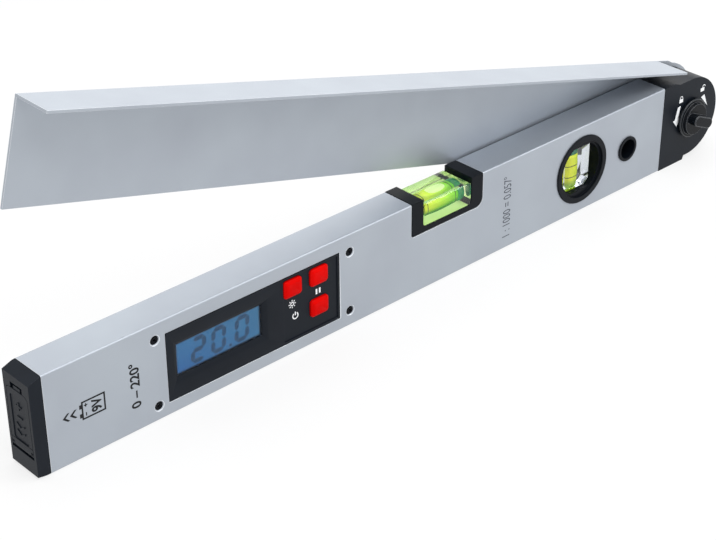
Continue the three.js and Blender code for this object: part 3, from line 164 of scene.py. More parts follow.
# Lamps, in metres and watts
lamps = {
    "overhead": {"place": (0.0, 0.1, 1.5), "size": 1.6, "power": 13, "aim": (0.05, 0, 0.05)},
    "high front": {"place": (-0.1, -0.95, 1.55), "size": 1.1, "power": 9, "aim": (0.05, 0, 0.08)},
    "left fill": {"place": (-1.3, -0.9, 0.7), "size": 0.9, "power": 4, "aim": (0.15, 0, 0.08)},
    "back": {"place": (1.1, 1.0, 0.45), "size": 1.5, "power": 4.5, "aim": (0.05, 0, 0.08)},
    "right front": {"place": (0.95, -0.9, 1.15), "size": 0.6, "power": 7, "aim": (0.1, 0, 0.06)},
}

for name, lamp in lamps.items():
    light = bpy.data.lights.new(name, "AREA")
    light.shape = "SQUARE"
    light.size = lamp["size"]
    light.energy = lamp["power"]
    holder = bpy.data.objects.new(name, light)
    holder.location = lamp["place"]
    facing = Vector(lamp["aim"]) - Vector(lamp["place"])
    holder.rotation_euler = facing.to_track_quat("-Z", "Y").to_euler()
    scene.collection.objects.link(holder)
print("camera, floor and lights placed")


# Materials
def objectPlace(tree, grain, stretch=(1, 1, 1), turn=(0, 0, 0)):
    # the part's own coordinates, counted in grains of so many millimetres
    place = addNode(tree, "ShaderNodeTexCoord")
    scale = tuple(1 / (grain * s * mm) for s in stretch)
    settings = {"Scale": scale, "Rotation": turn}
    return addNode(
        tree, "ShaderNodeMapping", inputs=settings, links={"Vector": place.outputs["Object"]},
    )


def satinAnodisedAluminium(name, turnY=0.0, paintedHighlight=False):
    # extruded, fine blasted, then anodised: a soft grey sheen, a fine sparkle and faint die lines
    values = {
        "colour": "#ADB4BC", "dark": "#A6ACB5", "cloud": 35, "gritShare": 0.55, "blend": (0.5, 1.05),
        "dieLine": 0.8, "lineLength": 110, "grit": 0.55,
        "metallic": 0.6, "roughness": 0.44, "glossier": 0.05, "duller": 0.06,
        "lineBump": 0.05, "gritBump": 0.3, "bumpDepth": 0.03,
    }
    if paintedHighlight:
        # a lighter, glossier copy for the corners: a painted highlight along the edges
        values.update({"colour": "#F4F7FA", "dark": "#DDE2E8", "roughness": 0.36})
    material, tree = startMaterial(name)
    # real die lines are about 0.1 mm apart, drawn at 0.8 mm so that they show at this size
    along = (values["lineLength"], 1, 1)
    lines = objectPlace(tree, values["dieLine"], along, (0, turnY, 0))
    drawn = addNode(
        tree, "ShaderNodeTexNoise",
        inputs={"Scale": 1.0, "Detail": 3.0, "Roughness": 0.6},
        links={"Vector": lines.outputs[0]},
    )
    # grit of 0.55 mm stands for the real 0.1 mm blasting marks
    spots = objectPlace(tree, values["grit"])
    blasted = addNode(
        tree, "ShaderNodeTexNoise",
        inputs={"Scale": 1.0, "Detail": 2.0, "Roughness": 0.7},
        links={"Vector": spots.outputs[0]},
    )
    wide = objectPlace(tree, values["cloud"])
    cloud = addNode(
        tree, "ShaderNodeTexNoise", inputs={"Scale": 1.0, "Detail": 2.0},
        links={"Vector": wide.outputs[0]},
    )
    speck = addNode(
        tree, "ShaderNodeMath", {"operation": "MULTIPLY_ADD"},
        {1: values["gritShare"]}, {0: blasted.outputs["Fac"], 2: cloud.outputs["Fac"]},
    )
    least, most = values["blend"]
    amount = addNode(
        tree, "ShaderNodeMapRange", inputs={"From Min": least, "From Max": most},
        links={"Value": speck.outputs[0]},
    )
    tone = addNode(
        tree, "ShaderNodeMix", {"data_type": "RGBA"},
        {6: toLinear(values["dark"]), 7: toLinear(values["colour"])},
        {0: amount.outputs[0]},
    )
    low = values["roughness"] - values["glossier"]
    high = values["roughness"] + values["duller"]
    rough = addNode(
        tree, "ShaderNodeMapRange",
        inputs={"From Min": 0.3, "From Max": 0.7, "To Min": low, "To Max": high},
        links={"Value": blasted.outputs["Fac"]},
    )
    lineBump = addNode(
        tree, "ShaderNodeBump",
        inputs={"Strength": values["lineBump"], "Distance": values["bumpDepth"] * mm},
        links={"Height": drawn.outputs["Fac"]},
    )
    bump = addNode(
        tree, "ShaderNodeBump",
        inputs={"Strength": values["gritBump"], "Distance": values["bumpDepth"] * mm},
        links={"Height": blasted.outputs["Fac"], "Normal": lineBump.outputs[0]},
    )
    shader = addNode(
        tree, "ShaderNodeBsdfPrincipled", inputs={"Metallic": values["metallic"]},
        links={"Base Color": tone.outputs[2], "Roughness": rough.outputs[0], "Normal": bump.outputs[0]},
    )
    addNode(tree, "ShaderNodeOutputMaterial", links={"Surface": shader.outputs[0]})
    return material


def mouldedPlastic(name, colour, roughness, specular=0.25, grainSize=0.5, grainDepth=0.04):
    # injection moulded in a spark-eroded tool: matt, with a fine even grain that breaks the highlights
    values = {
        "mottle": 14, "lighter": 1.5, "lift": 0.0015, "glossier": 0.06, "duller": 0.08, "grainBump": 0.5,
    }
    material, tree = startMaterial(name)
    # the real grain is about 0.1 mm, drawn coarser so that it shows
    fine = objectPlace(tree, grainSize)
    grain = addNode(
        tree, "ShaderNodeTexNoise",
        inputs={"Scale": 1.0, "Detail": 3.0, "Roughness": 0.65},
        links={"Vector": fine.outputs[0]},
    )
    wide = objectPlace(tree, values["mottle"])
    mottle = addNode(
        tree, "ShaderNodeTexNoise", inputs={"Scale": 1.0, "Detail": 2.0},
        links={"Vector": wide.outputs[0]},
    )
    tone = addNode(
        tree, "ShaderNodeMix", {"data_type": "RGBA"},
        {6: toLinear(colour), 7: shade(colour, values["lighter"], values["lift"])},
        {0: mottle.outputs["Fac"]},
    )
    low = roughness - values["glossier"]
    high = roughness + values["duller"]
    rough = addNode(
        tree, "ShaderNodeMapRange",
        inputs={"From Min": 0.3, "From Max": 0.7, "To Min": low, "To Max": high},
        links={"Value": grain.outputs["Fac"]},
    )
    bump = addNode(
        tree, "ShaderNodeBump", inputs={"Strength": values["grainBump"], "Distance": grainDepth * mm},
        links={"Height": grain.outputs["Fac"]},
    )
    shader = addNode(
        tree, "ShaderNodeBsdfPrincipled",
        inputs={"Metallic": 0.0, "IOR": 1.5, "Specular IOR Level": specular},
        links={"Base Color": tone.outputs[2], "Roughness": rough.outputs[0], "Normal": bump.outputs[0]},
    )
    addNode(tree, "ShaderNodeOutputMaterial", links={"Surface": shader.outputs[0]})
    return material


def clearAcrylic(name, colour, transmission, roughness, glow=0.0, paintedGlowColour="#FFFFFF", index=1.49):
    # cast and polished acrylic: glassy faces, faint flow marks, and a painted glow where one is given
    values = {"flow": 6, "darker": 0.94, "flowBump": 0.1, "bumpDepth": 0.05}
    material, tree = startMaterial(name)
    flow = objectPlace(tree, values["flow"])
    waves = addNode(
        tree, "ShaderNodeTexNoise", inputs={"Scale": 1.0, "Detail": 1.0},
        links={"Vector": flow.outputs[0]},
    )
    tone = addNode(
        tree, "ShaderNodeMix", {"data_type": "RGBA"},
        {6: shade(colour, values["darker"]), 7: toLinear(colour)},
        {0: waves.outputs["Fac"]},
    )
    bump = addNode(
        tree, "ShaderNodeBump",
        inputs={"Strength": values["flowBump"], "Distance": values["bumpDepth"] * mm},
        links={"Height": waves.outputs["Fac"]},
    )
    shader = addNode(
        tree, "ShaderNodeBsdfPrincipled",
        inputs={
            "IOR": index, "Roughness": roughness, "Transmission Weight": transmission,
            "Emission Color": toLinear(paintedGlowColour), "Emission Strength": glow,
        },
        links={"Base Color": tone.outputs[2], "Normal": bump.outputs[0]},
    )
    addNode(tree, "ShaderNodeOutputMaterial", links={"Surface": shader.outputs[0]})
    return material


def dyedLiquidWithPaintedLight(name, values):
    # dyed spirit in a polished barrel, with a painted glow: lighter yellow at the left, greener to the
    # right, and painted shade that darkens it low down
    material, tree = startMaterial(name)
    place = addNode(tree, "ShaderNodeTexCoord")
    axes = addNode(tree, "ShaderNodeSeparateXYZ", links={"Vector": place.outputs["Object"]})
    # painted shade: the tone darkens towards the bottom of the barrel
    low, high = values["low"]
    depth = addNode(
        tree, "ShaderNodeMapRange", {"interpolation_type": "SMOOTHSTEP"},
        {"From Min": low * mm, "From Max": high * mm}, {"Value": axes.outputs["Z"]},
    )
    left, right = values["across"]
    side = addNode(
        tree, "ShaderNodeMapRange", inputs={"From Min": left * mm, "From Max": right * mm},
        links={"Value": axes.outputs["X"]},
    )
    bright = addNode(
        tree, "ShaderNodeMix", {"data_type": "RGBA"},
        {6: toLinear(values["bright"]), 7: toLinear(values["green"])}, {0: side.outputs[0]},
    )
    tone = addNode(
        tree, "ShaderNodeMix", {"data_type": "RGBA"}, {6: toLinear(values["paintedShade"])},
        {0: depth.outputs[0], 7: bright.outputs[2]},
    )
    # a painted glow in the liquid's own tone
    shader = addNode(
        tree, "ShaderNodeBsdfPrincipled",
        inputs={
            "IOR": 1.36, "Roughness": 0.04, "Transmission Weight": values["clear"],
            "Emission Strength": values["glow"],
        },
        links={"Base Color": tone.outputs[2], "Emission Color": tone.outputs[2]},
    )
    addNode(tree, "ShaderNodeOutputMaterial", links={"Surface": shader.outputs[0]})
    return material


def displayGlass(name):
    # liquid crystal cell under a polariser: grey blue above, clearer blue at the lower left, dark rim
    values = {
        "upper": "#2A78AE", "lower": "#0062A6", "right": "#2A7AA4", "rim": "#0E1C2C",
        "left": -158.1, "end": -99.9, "low": 20.35, "high": 40.05, "rimWidth": 1.5,
        "cloud": 9, "cloudShare": 0.4, "blend": (0.2, 1.1), "rightShare": 0.75,
    }
    material, tree = startMaterial(name)
    place = addNode(tree, "ShaderNodeTexCoord")
    axes = addNode(tree, "ShaderNodeSeparateXYZ", links={"Vector": place.outputs["Object"]})
    rise = addNode(
        tree, "ShaderNodeMapRange", inputs={"From Min": values["low"] * mm, "From Max": values["high"] * mm},
        links={"Value": axes.outputs["Z"]},
    )
    run = addNode(
        tree, "ShaderNodeMapRange", inputs={"From Min": values["left"] * mm, "From Max": values["end"] * mm},
        links={"Value": axes.outputs["X"]},
    )
    spread = objectPlace(tree, values["cloud"])
    patches = addNode(
        tree, "ShaderNodeTexNoise", inputs={"Scale": 1.0, "Detail": 2.0},
        links={"Vector": spread.outputs[0]},
    )
    swayed = addNode(
        tree, "ShaderNodeMath", {"operation": "MULTIPLY_ADD"},
        {1: values["cloudShare"]}, {0: patches.outputs["Fac"], 2: rise.outputs[0]},
    )
    least, most = values["blend"]
    ramp = addNode(
        tree, "ShaderNodeMapRange", inputs={"From Min": least, "From Max": most},
        links={"Value": swayed.outputs[0]},
    )
    upright = addNode(
        tree, "ShaderNodeMix", {"data_type": "RGBA"},
        {6: toLinear(values["lower"]), 7: toLinear(values["upper"])}, {0: ramp.outputs[0]},
    )
    sideways = addNode(
        tree, "ShaderNodeMath", {"operation": "MULTIPLY"},
        {1: values["rightShare"]}, {0: run.outputs[0]},
    )
    across = addNode(
        tree, "ShaderNodeMix", {"data_type": "RGBA"}, {7: toLinear(values["right"])},
        {0: sideways.outputs[0], 6: upright.outputs[2]},
    )
    # the shadow that the deep opening throws on the rim of the glass
    edges = []
    for axis, low, high in (("X", "left", "end"), ("Z", "low", "high")):
        middle = (values[low] + values[high]) / 2 * mm
        reach = (values[high] - values[low]) / 2 * mm
        offset = addNode(
            tree, "ShaderNodeMath", {"operation": "SUBTRACT"}, {1: middle}, {0: axes.outputs[axis]},
        )
        away = addNode(tree, "ShaderNodeMath", {"operation": "ABSOLUTE"}, links={0: offset.outputs[0]})
        limits = {"From Min": reach - values["rimWidth"] * mm, "From Max": reach}
        edges.append(addNode(tree, "ShaderNodeMapRange", inputs=limits, links={"Value": away.outputs[0]}))
    both = {0: edges[0].outputs[0], 1: edges[1].outputs[0]}
    edge = addNode(tree, "ShaderNodeMath", {"operation": "MAXIMUM"}, links=both)
    tone = addNode(
        tree, "ShaderNodeMix", {"data_type": "RGBA"}, {7: toLinear(values["rim"])},
        {0: edge.outputs[0], 6: across.outputs[2]},
    )
    shader = addNode(
        tree, "ShaderNodeBsdfPrincipled", inputs={"Roughness": 0.3, "IOR": 1.5, "Specular IOR Level": 0.3},
        links={"Base Color": tone.outputs[2]},
    )
    addNode(tree, "ShaderNodeOutputMaterial", links={"Surface": shader.outputs[0]})
    return material


def machinedMetal(name, colour, roughness):
    # turned, then plated or blackened: fine tool marks, a little uneven in gloss
    values = {
        "toolMark": 0.5, "darker": 0.8, "glossier": 0.08, "duller": 0.1, "markBump": 0.2, "bumpDepth": 0.02,
    }
    material, tree = startMaterial(name)
    # real marks are about 0.05 mm apart, drawn at 0.5 mm so that they show
    fine = objectPlace(tree, values["toolMark"])
    marks = addNode(
        tree, "ShaderNodeTexNoise",
        inputs={"Scale": 1.0, "Detail": 4.0, "Roughness": 0.7},
        links={"Vector": fine.outputs[0]},
    )
    tone = addNode(
        tree, "ShaderNodeMix", {"data_type": "RGBA"},
        {6: shade(colour, values["darker"]), 7: toLinear(colour)}, {0: marks.outputs["Fac"]},
    )
    low = roughness - values["glossier"]
    high = roughness + values["duller"]
    rough = addNode(
        tree, "ShaderNodeMapRange", inputs={"To Min": low, "To Max": high},
        links={"Value": marks.outputs["Fac"]},
    )
    bump = addNode(
        tree, "ShaderNodeBump",
        inputs={"Strength": values["markBump"], "Distance": values["bumpDepth"] * mm},
        links={"Height": marks.outputs["Fac"]},
    )
    shader = addNode(
        tree, "ShaderNodeBsdfPrincipled", inputs={"Metallic": 1.0},
        links={"Base Color": tone.outputs[2], "Roughness": rough.outputs[0], "Normal": bump.outputs[0]},
    )
    addNode(tree, "ShaderNodeOutputMaterial", links={"Surface": shader.outputs[0]})
    return material


def screenedInk(name, colour):
    # screen printed ink: flat colour, slightly thin in places
    values = {"thinSpots": 0.6, "darker": 0.9, "lift": 0.01, "roughness": 0.55, "specular": 0.2}
    material, tree = startMaterial(name)
    fine = objectPlace(tree, values["thinSpots"])
    thin = addNode(
        tree, "ShaderNodeTexNoise", inputs={"Scale": 1.0, "Detail": 2.0},
        links={"Vector": fine.outputs[0]},
    )
    tone = addNode(
        tree, "ShaderNodeMix", {"data_type": "RGBA"},
        {6: toLinear(colour), 7: shade(colour, values["darker"], values["lift"])},
        {0: thin.outputs["Fac"]},
    )
    shader = addNode(
        tree, "ShaderNodeBsdfPrincipled",
        inputs={"Roughness": values["roughness"], "Specular IOR Level": values["specular"]},
        links={"Base Color": tone.outputs[2]},
    )
    addNode(tree, "ShaderNodeOutputMaterial", links={"Surface": shader.outputs[0]})
    return material


armSlope = 15.3       # the arm's opening, so that its die lines run along it
# a plastic has its colour, roughness, specular level, grain size and grain depth in millimetres;
# an acrylic has its colour, clearness, roughness, painted glow and the glow's colour
finishes = {
    "satin_aluminium": satinAnodisedAluminium("satin anodised aluminium"),
    "black_plastic": mouldedPlastic("black moulded ABS", "#0A1018", 0.42, 0.15),
    "red_button": mouldedPlastic("red moulded ABS", "#BC0200", 0.34, 0.03, 0.8, 0.02),
    "display_glass": displayGlass("liquid crystal cell"),
    "clear_pane": clearAcrylic("coated clear window pane", "#F4F8FB", 1.0, 0.02, index=1.25),
    "clear_acrylic": clearAcrylic("clear cast acrylic", "#DDE2EA", 1.0, 0.04),
    "lime_acrylic": clearAcrylic("lime cast acrylic", "#EBFABA", 1.0, 0.02),
    # the spirit's glow is painted light
    "vial_liquid": clearAcrylic("spirit with painted glow", "#CDF032", 0.45, 0.03, 0.3, "#B9EE12"),
    "black_screw": machinedMetal("black oxide steel", "#1A1C20", 0.38),
    "bare_steel": machinedMetal("zinc plated steel", "#B9BCC0", 0.3),
    "brass": machinedMetal("nickel plated brass", "#C9AE6A", 0.28),
    "board_laminate": mouldedPlastic("green glass fibre laminate", "#14532F", 0.4, 0.4, 0.9),
    "connector_rubber": mouldedPlastic("grey conductive rubber", "#5B5C5E", 0.6),
    "red_lead": mouldedPlastic("red vinyl lead", "#B41C18", 0.4),
    "black_lead": mouldedPlastic("black vinyl lead", "#17181A", 0.4),
    "friction_fibre": mouldedPlastic("pressed friction fibre", "#6B4A33", 0.8, 0.2, 1.2),
    "battery_jacket": mouldedPlastic("printed battery jacket", "#2F3B4A", 0.35),
}
ownFinishes = {
    "arm_profile": satinAnodisedAluminium("satin anodised aluminium of the arm", math.radians(-armSlope)),
    "lock_knob": mouldedPlastic("black moulded nylon", "#05080D", 0.25, 0.12, 0.5, 0.02),
}
smoothBlack = mouldedPlastic("smooth black ABS", "#070B11", 0.35, 0.1, 0.5, 0.02)
for side in ("front", "rear"):
    ownFinishes["vertical_vial_ring_" + side] = smoothBlack
    ownFinishes["hanging_grommet_" + side] = smoothBlack
ownFinishes["horizontal_vial_frame"] = smoothBlack
blackInk = screenedInk("black screen printing", "#0B0C0F")
greyInk = screenedInk("thin grey screen printing", "#4A4E56")
whiteInk = screenedInk("white pad printing", "#F4F6F8")
crystalInk = screenedInk("dark crystal segments", "#1D4E74")
for name, node in nodes.items():
    slotName = node.data.materials[0].name.split(".")[0]
    node.data.materials[0] = ownFinishes.get(name, finishes[slotName])
print("materials made and given to the nodes")


# Finer edges on the hard parts
edgeValues = {"sharpFrom": 32, "segments": 2, "weld": 0.002, "flatWithin": 0.4}


def makeEvenShading(name, sharpFrom):
    # clears the split normals that come with the file, and keeps only the real corners sharp
    group = bpy.data.node_groups.new(name, "GeometryNodeTree")
    group.interface.new_socket("Mesh", in_out="INPUT", socket_type="NodeSocketGeometry")
    group.interface.new_socket("Mesh", in_out="OUTPUT", socket_type="NodeSocketGeometry")
    start = addNode(group, "NodeGroupInput")
    bend = addNode(group, "GeometryNodeInputMeshEdgeAngle")
    corner = addNode(
        group, "FunctionNodeCompare", {"data_type": "FLOAT", "operation": "GREATER_THAN"},
        {1: math.radians(sharpFrom)}, {0: bend.outputs[0]},
    )
    normals = addNode(
        group, "GeometryNodeSetMeshNormal", {"mode": "SHARPNESS"},
        links={"Mesh": start.outputs[0], "Edge Sharpness": corner.outputs[0]},
    )
    addNode(group, "NodeGroupOutput", links={0: normals.outputs[0]})
    return group


roundShading = makeEvenShading("even shading", 181)      # past 180, so that no corner stays sharp
cornerShading = makeEvenShading("even shading with corners", edgeValues["sharpFrom"])
# how wide each visible part's edges are broken; parts inside keep their corners
edgeBreaks = {
    "body_tube": 0.55, "arm_profile": 0.35, "end_cap": 0.7, "display_bezel": 0.4,
    "horizontal_vial_frame": 0.5, "head_housing": 0.7, "lock_knob": 0.6, "arm_hub": 0.5,
    "vertical_vial_ring_front": 0.3, "vertical_vial_ring_rear": 0.3,
    "hanging_grommet_front": 0.3, "hanging_grommet_rear": 0.3,
    "clamp_bolt": 0.3, "knob_insert": 0.2, "display_window": 0.15,
}

# corners given a lighter copy of their material: a painted highlight along the edges
paintedHighlightCorners = satinAnodisedAluminium("aluminium corners with painted highlight", paintedHighlight=True)
# a lighter, glossier black for the knob's and the cap's corners: a painted highlight
paintedHighlightPlasticCorners = mouldedPlastic("plastic corners with painted highlight", "#23282F", 0.2, 0.8, 0.5, 0.02)
cornerMaterials = {
    "body_tube": paintedHighlightCorners, "arm_profile": paintedHighlightCorners,
    "lock_knob": paintedHighlightPlasticCorners, "end_cap": paintedHighlightPlasticCorners,
}


def breakEdges(piece, width, cornerMaterial=None):
    # a small round on every corner, with shading that keeps the faces flat
    bevel = piece.modifiers.new("broken edges", "BEVEL")
    if cornerMaterial:
        piece.data.materials.append(cornerMaterial)
        bevel.material = 1
    bevel.width = width * mm
    bevel.segments = edgeValues["segments"]
    bevel.limit_method = "ANGLE"
    bevel.angle_limit = math.radians(edgeValues["sharpFrom"])
    bevel.use_clamp_overlap = True
    bevel.miter_outer = "MITER_ARC"
    weighted = piece.modifiers.new("flat faces", "WEIGHTED_NORMAL")
    weighted.keep_sharp = False


def evenOut(piece, rounded):
    # joins the loose triangles of a flat face into one clean face
    weld = piece.modifiers.new("weld", "WELD")
    weld.merge_threshold = edgeValues["weld"] * mm
    flat = piece.modifiers.new("flats", "DECIMATE")
    flat.decimate_type = "DISSOLVE"
    flat.angle_limit = math.radians(edgeValues["flatWithin"])
    shading = piece.modifiers.new("shading", "NODES")
    shading.node_group = roundShading if rounded else cornerShading


for name, node in nodes.items():
    evenOut(node, name in edgeBreaks)
    if name in edgeBreaks:
        breakEdges(node, edgeBreaks[name], cornerMaterials.get(name))
print("edges broken on", len(edgeBreaks), "parts")


# Making pieces
def link(name, mesh, material, body):
    # a finished mesh becomes a piece that rides on its body
    mesh.materials.clear()
    mesh.materials.append(material)
    piece = bpy.data.objects.new(name, mesh)
    scene.collection.objects.link(piece)
    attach(piece, body)
    return piece


def evaluated(holder):
    # the mesh that an object gives once its modifiers or its curve have been worked out
    bpy.context.view_layer.update()
    graph = bpy.context.evaluated_depsgraph_get()
    return bpy.data.meshes.new_from_object(holder.evaluated_get(graph))


def meshFromCurve(name, curve, matrix):
    # the drawn outline becomes a thin solid, set in its place on the part
    holder = bpy.data.objects.new(name, curve)
    scene.collection.objects.link(holder)
    mesh = evaluated(holder)
    bpy.data.objects.remove(holder)
    bpy.data.curves.remove(curve)
    mesh.name = name
    mesh.transform(matrix)
    return mesh


def carve(name, mesh, tool):
    # takes the tool's space out of the mesh
    holders = []
    for part in (mesh, tool):
        holder = bpy.data.objects.new(name, part)
        scene.collection.objects.link(holder)
        holders.append(holder)
    step = holders[0].modifiers.new("cut", "BOOLEAN")
    step.operation = "DIFFERENCE"
    step.solver = "EXACT"
    step.object = holders[1]
    made = evaluated(holders[0])
    for holder in holders:
        bpy.data.objects.remove(holder)
    bpy.data.meshes.remove(mesh)
    bpy.data.meshes.remove(tool)
    made.name = name
    return made


def drawnOutlines(name, outlines, thick):
    # closed shapes; one inside another is a hole
    curve = bpy.data.curves.new(name, "CURVE")
    curve.dimensions = "2D"
    curve.fill_mode = "BOTH"
    curve.extrude = thick * mm / 2
    for outline in outlines:
        spline = curve.splines.new("POLY")
        spline.points.add(len(outline) - 1)
        for point, (u, v) in zip(spline.points, outline):
            point.co = (u * mm, v * mm, 0, 1)
        spline.use_cyclic_u = True
    return curve


def drawnWords(name, words, height, thick, grow):
    curve = bpy.data.curves.new(name, "FONT")
    curve.body = words
    curve.size = height * mm
    curve.align_x = "CENTER"
    curve.align_y = "CENTER"
    curve.extrude = thick * mm / 2
    curve.offset = grow * mm
    return curve


def onFront(x, y, z, turn=0.0, squeeze=1.0):
    # drawing's right to +x and up to +z, facing the front
    facing = Matrix(((1, 0, 0), (0, 0, -1), (0, 1, 0))).to_4x4()
    spin = Matrix.Rotation(math.radians(turn), 4, "Z")
    return Matrix.Translation(Vector((x, y, z)) * mm) @ facing @ spin @ Matrix.Diagonal((squeeze, 1, 1, 1))


def onLeftEnd(x, y, z):
    # drawing's right to -y and up to +z, facing the left end
    facing = Matrix(((0, 0, -1), (-1, 0, 0), (0, 1, 0))).to_4x4()
    return Matrix.Translation(Vector((x, y, z)) * mm) @ facing


def circlePoints(radius, centre, steps=32, start=0.0, sweep=360.0):
    # a whole circle, or an arc with both its ends
    count = steps if sweep >= 360 else steps + 1
    angles = [math.radians(start + sweep * i / steps) for i in range(count)]
    return [(centre[0] + radius * math.cos(a), centre[1] + radius * math.sin(a)) for a in angles]


def barOutline(start, end, width):
    along = Vector(end) - Vector(start)
    side = Vector((-along.y, along.x)).normalized() * width / 2
    points = (Vector(start) + side, Vector(start) - side, Vector(end) - side, Vector(end) + side)
    return [tuple(point) for point in points]


def frameOutline(centre, width, height, line):
    # a rectangle drawn with a line that lies inside it
    signs = ((-1, -1), (1, -1), (1, 1), (-1, 1))
    outer = [(centre[0] + a * width / 2, centre[1] + b * height / 2) for a, b in signs]
    inner = [(centre[0] + a * (width / 2 - line), centre[1] + b * (height / 2 - line)) for a, b in signs]
    return [outer, inner]


def arcBand(radius, width, start, sweep, centre, steps=24):
    # a bent bar with square ends
    outer = circlePoints(radius + width / 2, centre, steps, start, sweep)
    inner = circlePoints(radius - width / 2, centre, steps, start, sweep)
    return outer + inner[::-1]


def roundedOutline(halfWidth, halfHeight, radius, centre, steps=6):
    # a rectangle with round corners
    points = []
    for i, (a, b) in enumerate(((1, 1), (-1, 1), (-1, -1), (1, -1))):
        middle = (centre[0] + a * (halfWidth - radius), centre[1] + b * (halfHeight - radius))
        points += circlePoints(radius, middle, steps, 90 * i, 90)
    return points


def chevron(tip, reach, halfHeight, line):
    # an arrow head that points left, a little heavier at its tip
    u, v = tip
    innerTip = (u + line * 1.25, v)
    return [
        (u, v), (u + reach, v + halfHeight), (u + reach + line, v + halfHeight),
        innerTip, (u + reach + line, v - halfHeight), (u + reach, v - halfHeight),
    ]


def crossOutline(centre, length, line):
    # an upright cross, such as a plus sign
    near, far = line / 2, length / 2
    points = []
    for a, b in ((1, 1), (-1, 1), (-1, -1), (1, -1)):
        arm = [(a * far, b * near), (a * near, b * near), (a * near, b * far)]
        points += arm if a * b > 0 else arm[::-1]
    return [(centre[0] + u, centre[1] + v) for u, v in points]


def ringAt(y, outline):
    # an outline in x and z, set at a depth on the part
    return [Vector((u, y, v)) * mm for u, v in outline]


def loft(rings, closed=True):
    # quads between rings of equal count, with a face at each end
    made = bmesh.new()
    rows = [[made.verts.new(point) for point in ring] for ring in rings]
    count = len(rows[0])
    for low, high in zip(rows, rows[1:]):
        for i in range(count):
            made.faces.new((low[i], low[(i + 1) % count], high[(i + 1) % count], high[i]))
    if closed:
        made.faces.new(rows[0][::-1])
        made.faces.new(rows[-1])
    bmesh.ops.recalc_face_normals(made, faces=made.faces)
    return made


def meshFrom(made, name, sharpFrom):
    # smooth shading, but for corners sharper than so many degrees
    mesh = bpy.data.meshes.new(name)
    made.to_mesh(mesh)
    made.free()
    mesh.shade_smooth()
    mesh.set_sharp_from_angle(angle=math.radians(sharpFrom))
    return mesh


def barrelRings(profile, steps=48):
    # a profile of (along, radius) turned about the local x axis
    angles = [2 * math.pi * i / steps for i in range(steps)]
    return [[Vector((a, r * math.cos(t), r * math.sin(t))) * mm for t in angles] for a, r in profile]


# Printing on the tube's front
print("printing the front")
inkGap = 0.002        # keeps a printed layer just clear of the face that it lies on
printValues = {
    "thick": 0.02, "face": -11.5,
    "range": {"words": "0 – 220°", "place": (-186.6, 28.6), "height": 8.2, "squeeze": 1.0, "grow": 0.2},
    "slope": {
        "words": "1 : 1000 = 0.057°", "place": (94.4, 28.4), "height": 9.2, "squeeze": 0.67, "grow": 0.0,
    },
    "voltage": {"words": "9V", "place": (-211.0, 28.4), "height": 8.4, "squeeze": 0.82, "grow": 0.28},
}
batteryMark = {
    "centre": (-213.2, 28.5), "width": 14.8, "height": 11.2, "line": 1.0,
    "terminal": (1.3, 2.5), "spread": 2.75,
    "sign": 2.1, "signLine": 0.7, "signInset": 2.7, "signGap": 0.02,
    "chevronTips": ((-232.3, 28.8), (-227.9, 28.8)),
    "chevron": {"reach": 3.0, "halfHeight": 2.5, "line": 1.5},
}


def inkPlane(values):
    # where the middle of a printed layer lies
    return values["face"] - values["thick"] / 2 - inkGap


def printWords(name, values, ink):
    # a line of words that reads upwards
    x, z = values["place"]
    curve = drawnWords(name, values["words"], values["height"], printValues["thick"], values["grow"])
    mesh = meshFromCurve(name, curve, onFront(x, inkPlane(printValues), z, 90, values["squeeze"]))
    link(name, mesh, ink, "body")


def printShapes(name, outlines, thick, y, ink):
    # flat shapes that look to the front, as one piece on the body
    mesh = meshFromCurve(name, drawnOutlines(name, outlines, thick), onFront(0, y, 0))
    link(name, mesh, ink, "body")


def batteryOutlines(mark):
    # a battery on its side: its case, two terminals, minus and plus, and two arrow heads
    x, z = mark["centre"]
    left = x - mark["width"] / 2
    minus, plus = z - mark["spread"], z + mark["spread"]
    length, tall = mark["terminal"]
    reach, thin = mark["sign"] / 2, mark["signLine"]
    middle = left + mark["signInset"]
    near = thin / 2 + mark["signGap"]
    outlines = frameOutline(mark["centre"], mark["width"], mark["height"], mark["line"])
    for level in (minus, plus):
        outlines.append(barOutline((left - length, level), (left, level), tall))
    outlines.append(barOutline((middle, minus - reach), (middle, minus + reach), thin))
    # the plus comes as a bar and two halves, because outlines that cross cancel out
    outlines.append(barOutline((middle - reach, plus), (middle + reach, plus), thin))
    outlines.append(barOutline((middle, plus - reach), (middle, plus - near), thin))
    outlines.append(barOutline((middle, plus + near), (middle, plus + reach), thin))
    return outlines + [chevron(tip, **mark["chevron"]) for tip in mark["chevronTips"]]


for name, ink in (("range", blackInk), ("slope", greyInk), ("voltage", blackInk)):
    printWords(name + "_numbers", printValues[name], ink)
outlines = batteryOutlines(batteryMark)
printShapes("battery_mark", outlines, printValues["thick"], inkPlane(printValues), blackInk)


# Push buttons, with a raised top and sloping sides
print("shaping the buttons")
buttonValues = {
    "flangeHalf": (7.5, 6.45), "half": (6.5, 5.45), "topHalf": (4.9, 3.85),
    "back": -6.6, "flange": -7.3, "rim": -11.75, "top": -13.2,
    "flangeCorner": 2.8, "corner": 2.0, "topCorner": 1.2,
    "rimDrop": 0.25, "shoulder": 0.12, "crown": 0.15, "sharpFrom": 25,
}


def buttonLevels(values):
    # depth, half width, half height and corner radius, from the hidden flange out to the top
    flangeWide, flangeTall = values["flangeHalf"]
    wide, tall = values["half"]
    topWide, topTall = values["topHalf"]
    shoulder, crown = values["shoulder"], values["crown"]
    return [
        (values["back"], flangeWide, flangeTall, values["flangeCorner"]),
        (values["flange"], flangeWide, flangeTall, values["flangeCorner"]),
        (values["flange"], wide, tall, values["corner"]),
        (values["rim"], wide, tall, values["corner"]),
        (values["rim"] - values["rimDrop"], wide - shoulder, tall - shoulder, values["corner"]),
        (values["top"] + crown, topWide + shoulder, topTall + shoulder, values["topCorner"]),
        (values["top"], topWide - crown, topTall - crown, values["topCorner"]),
    ]


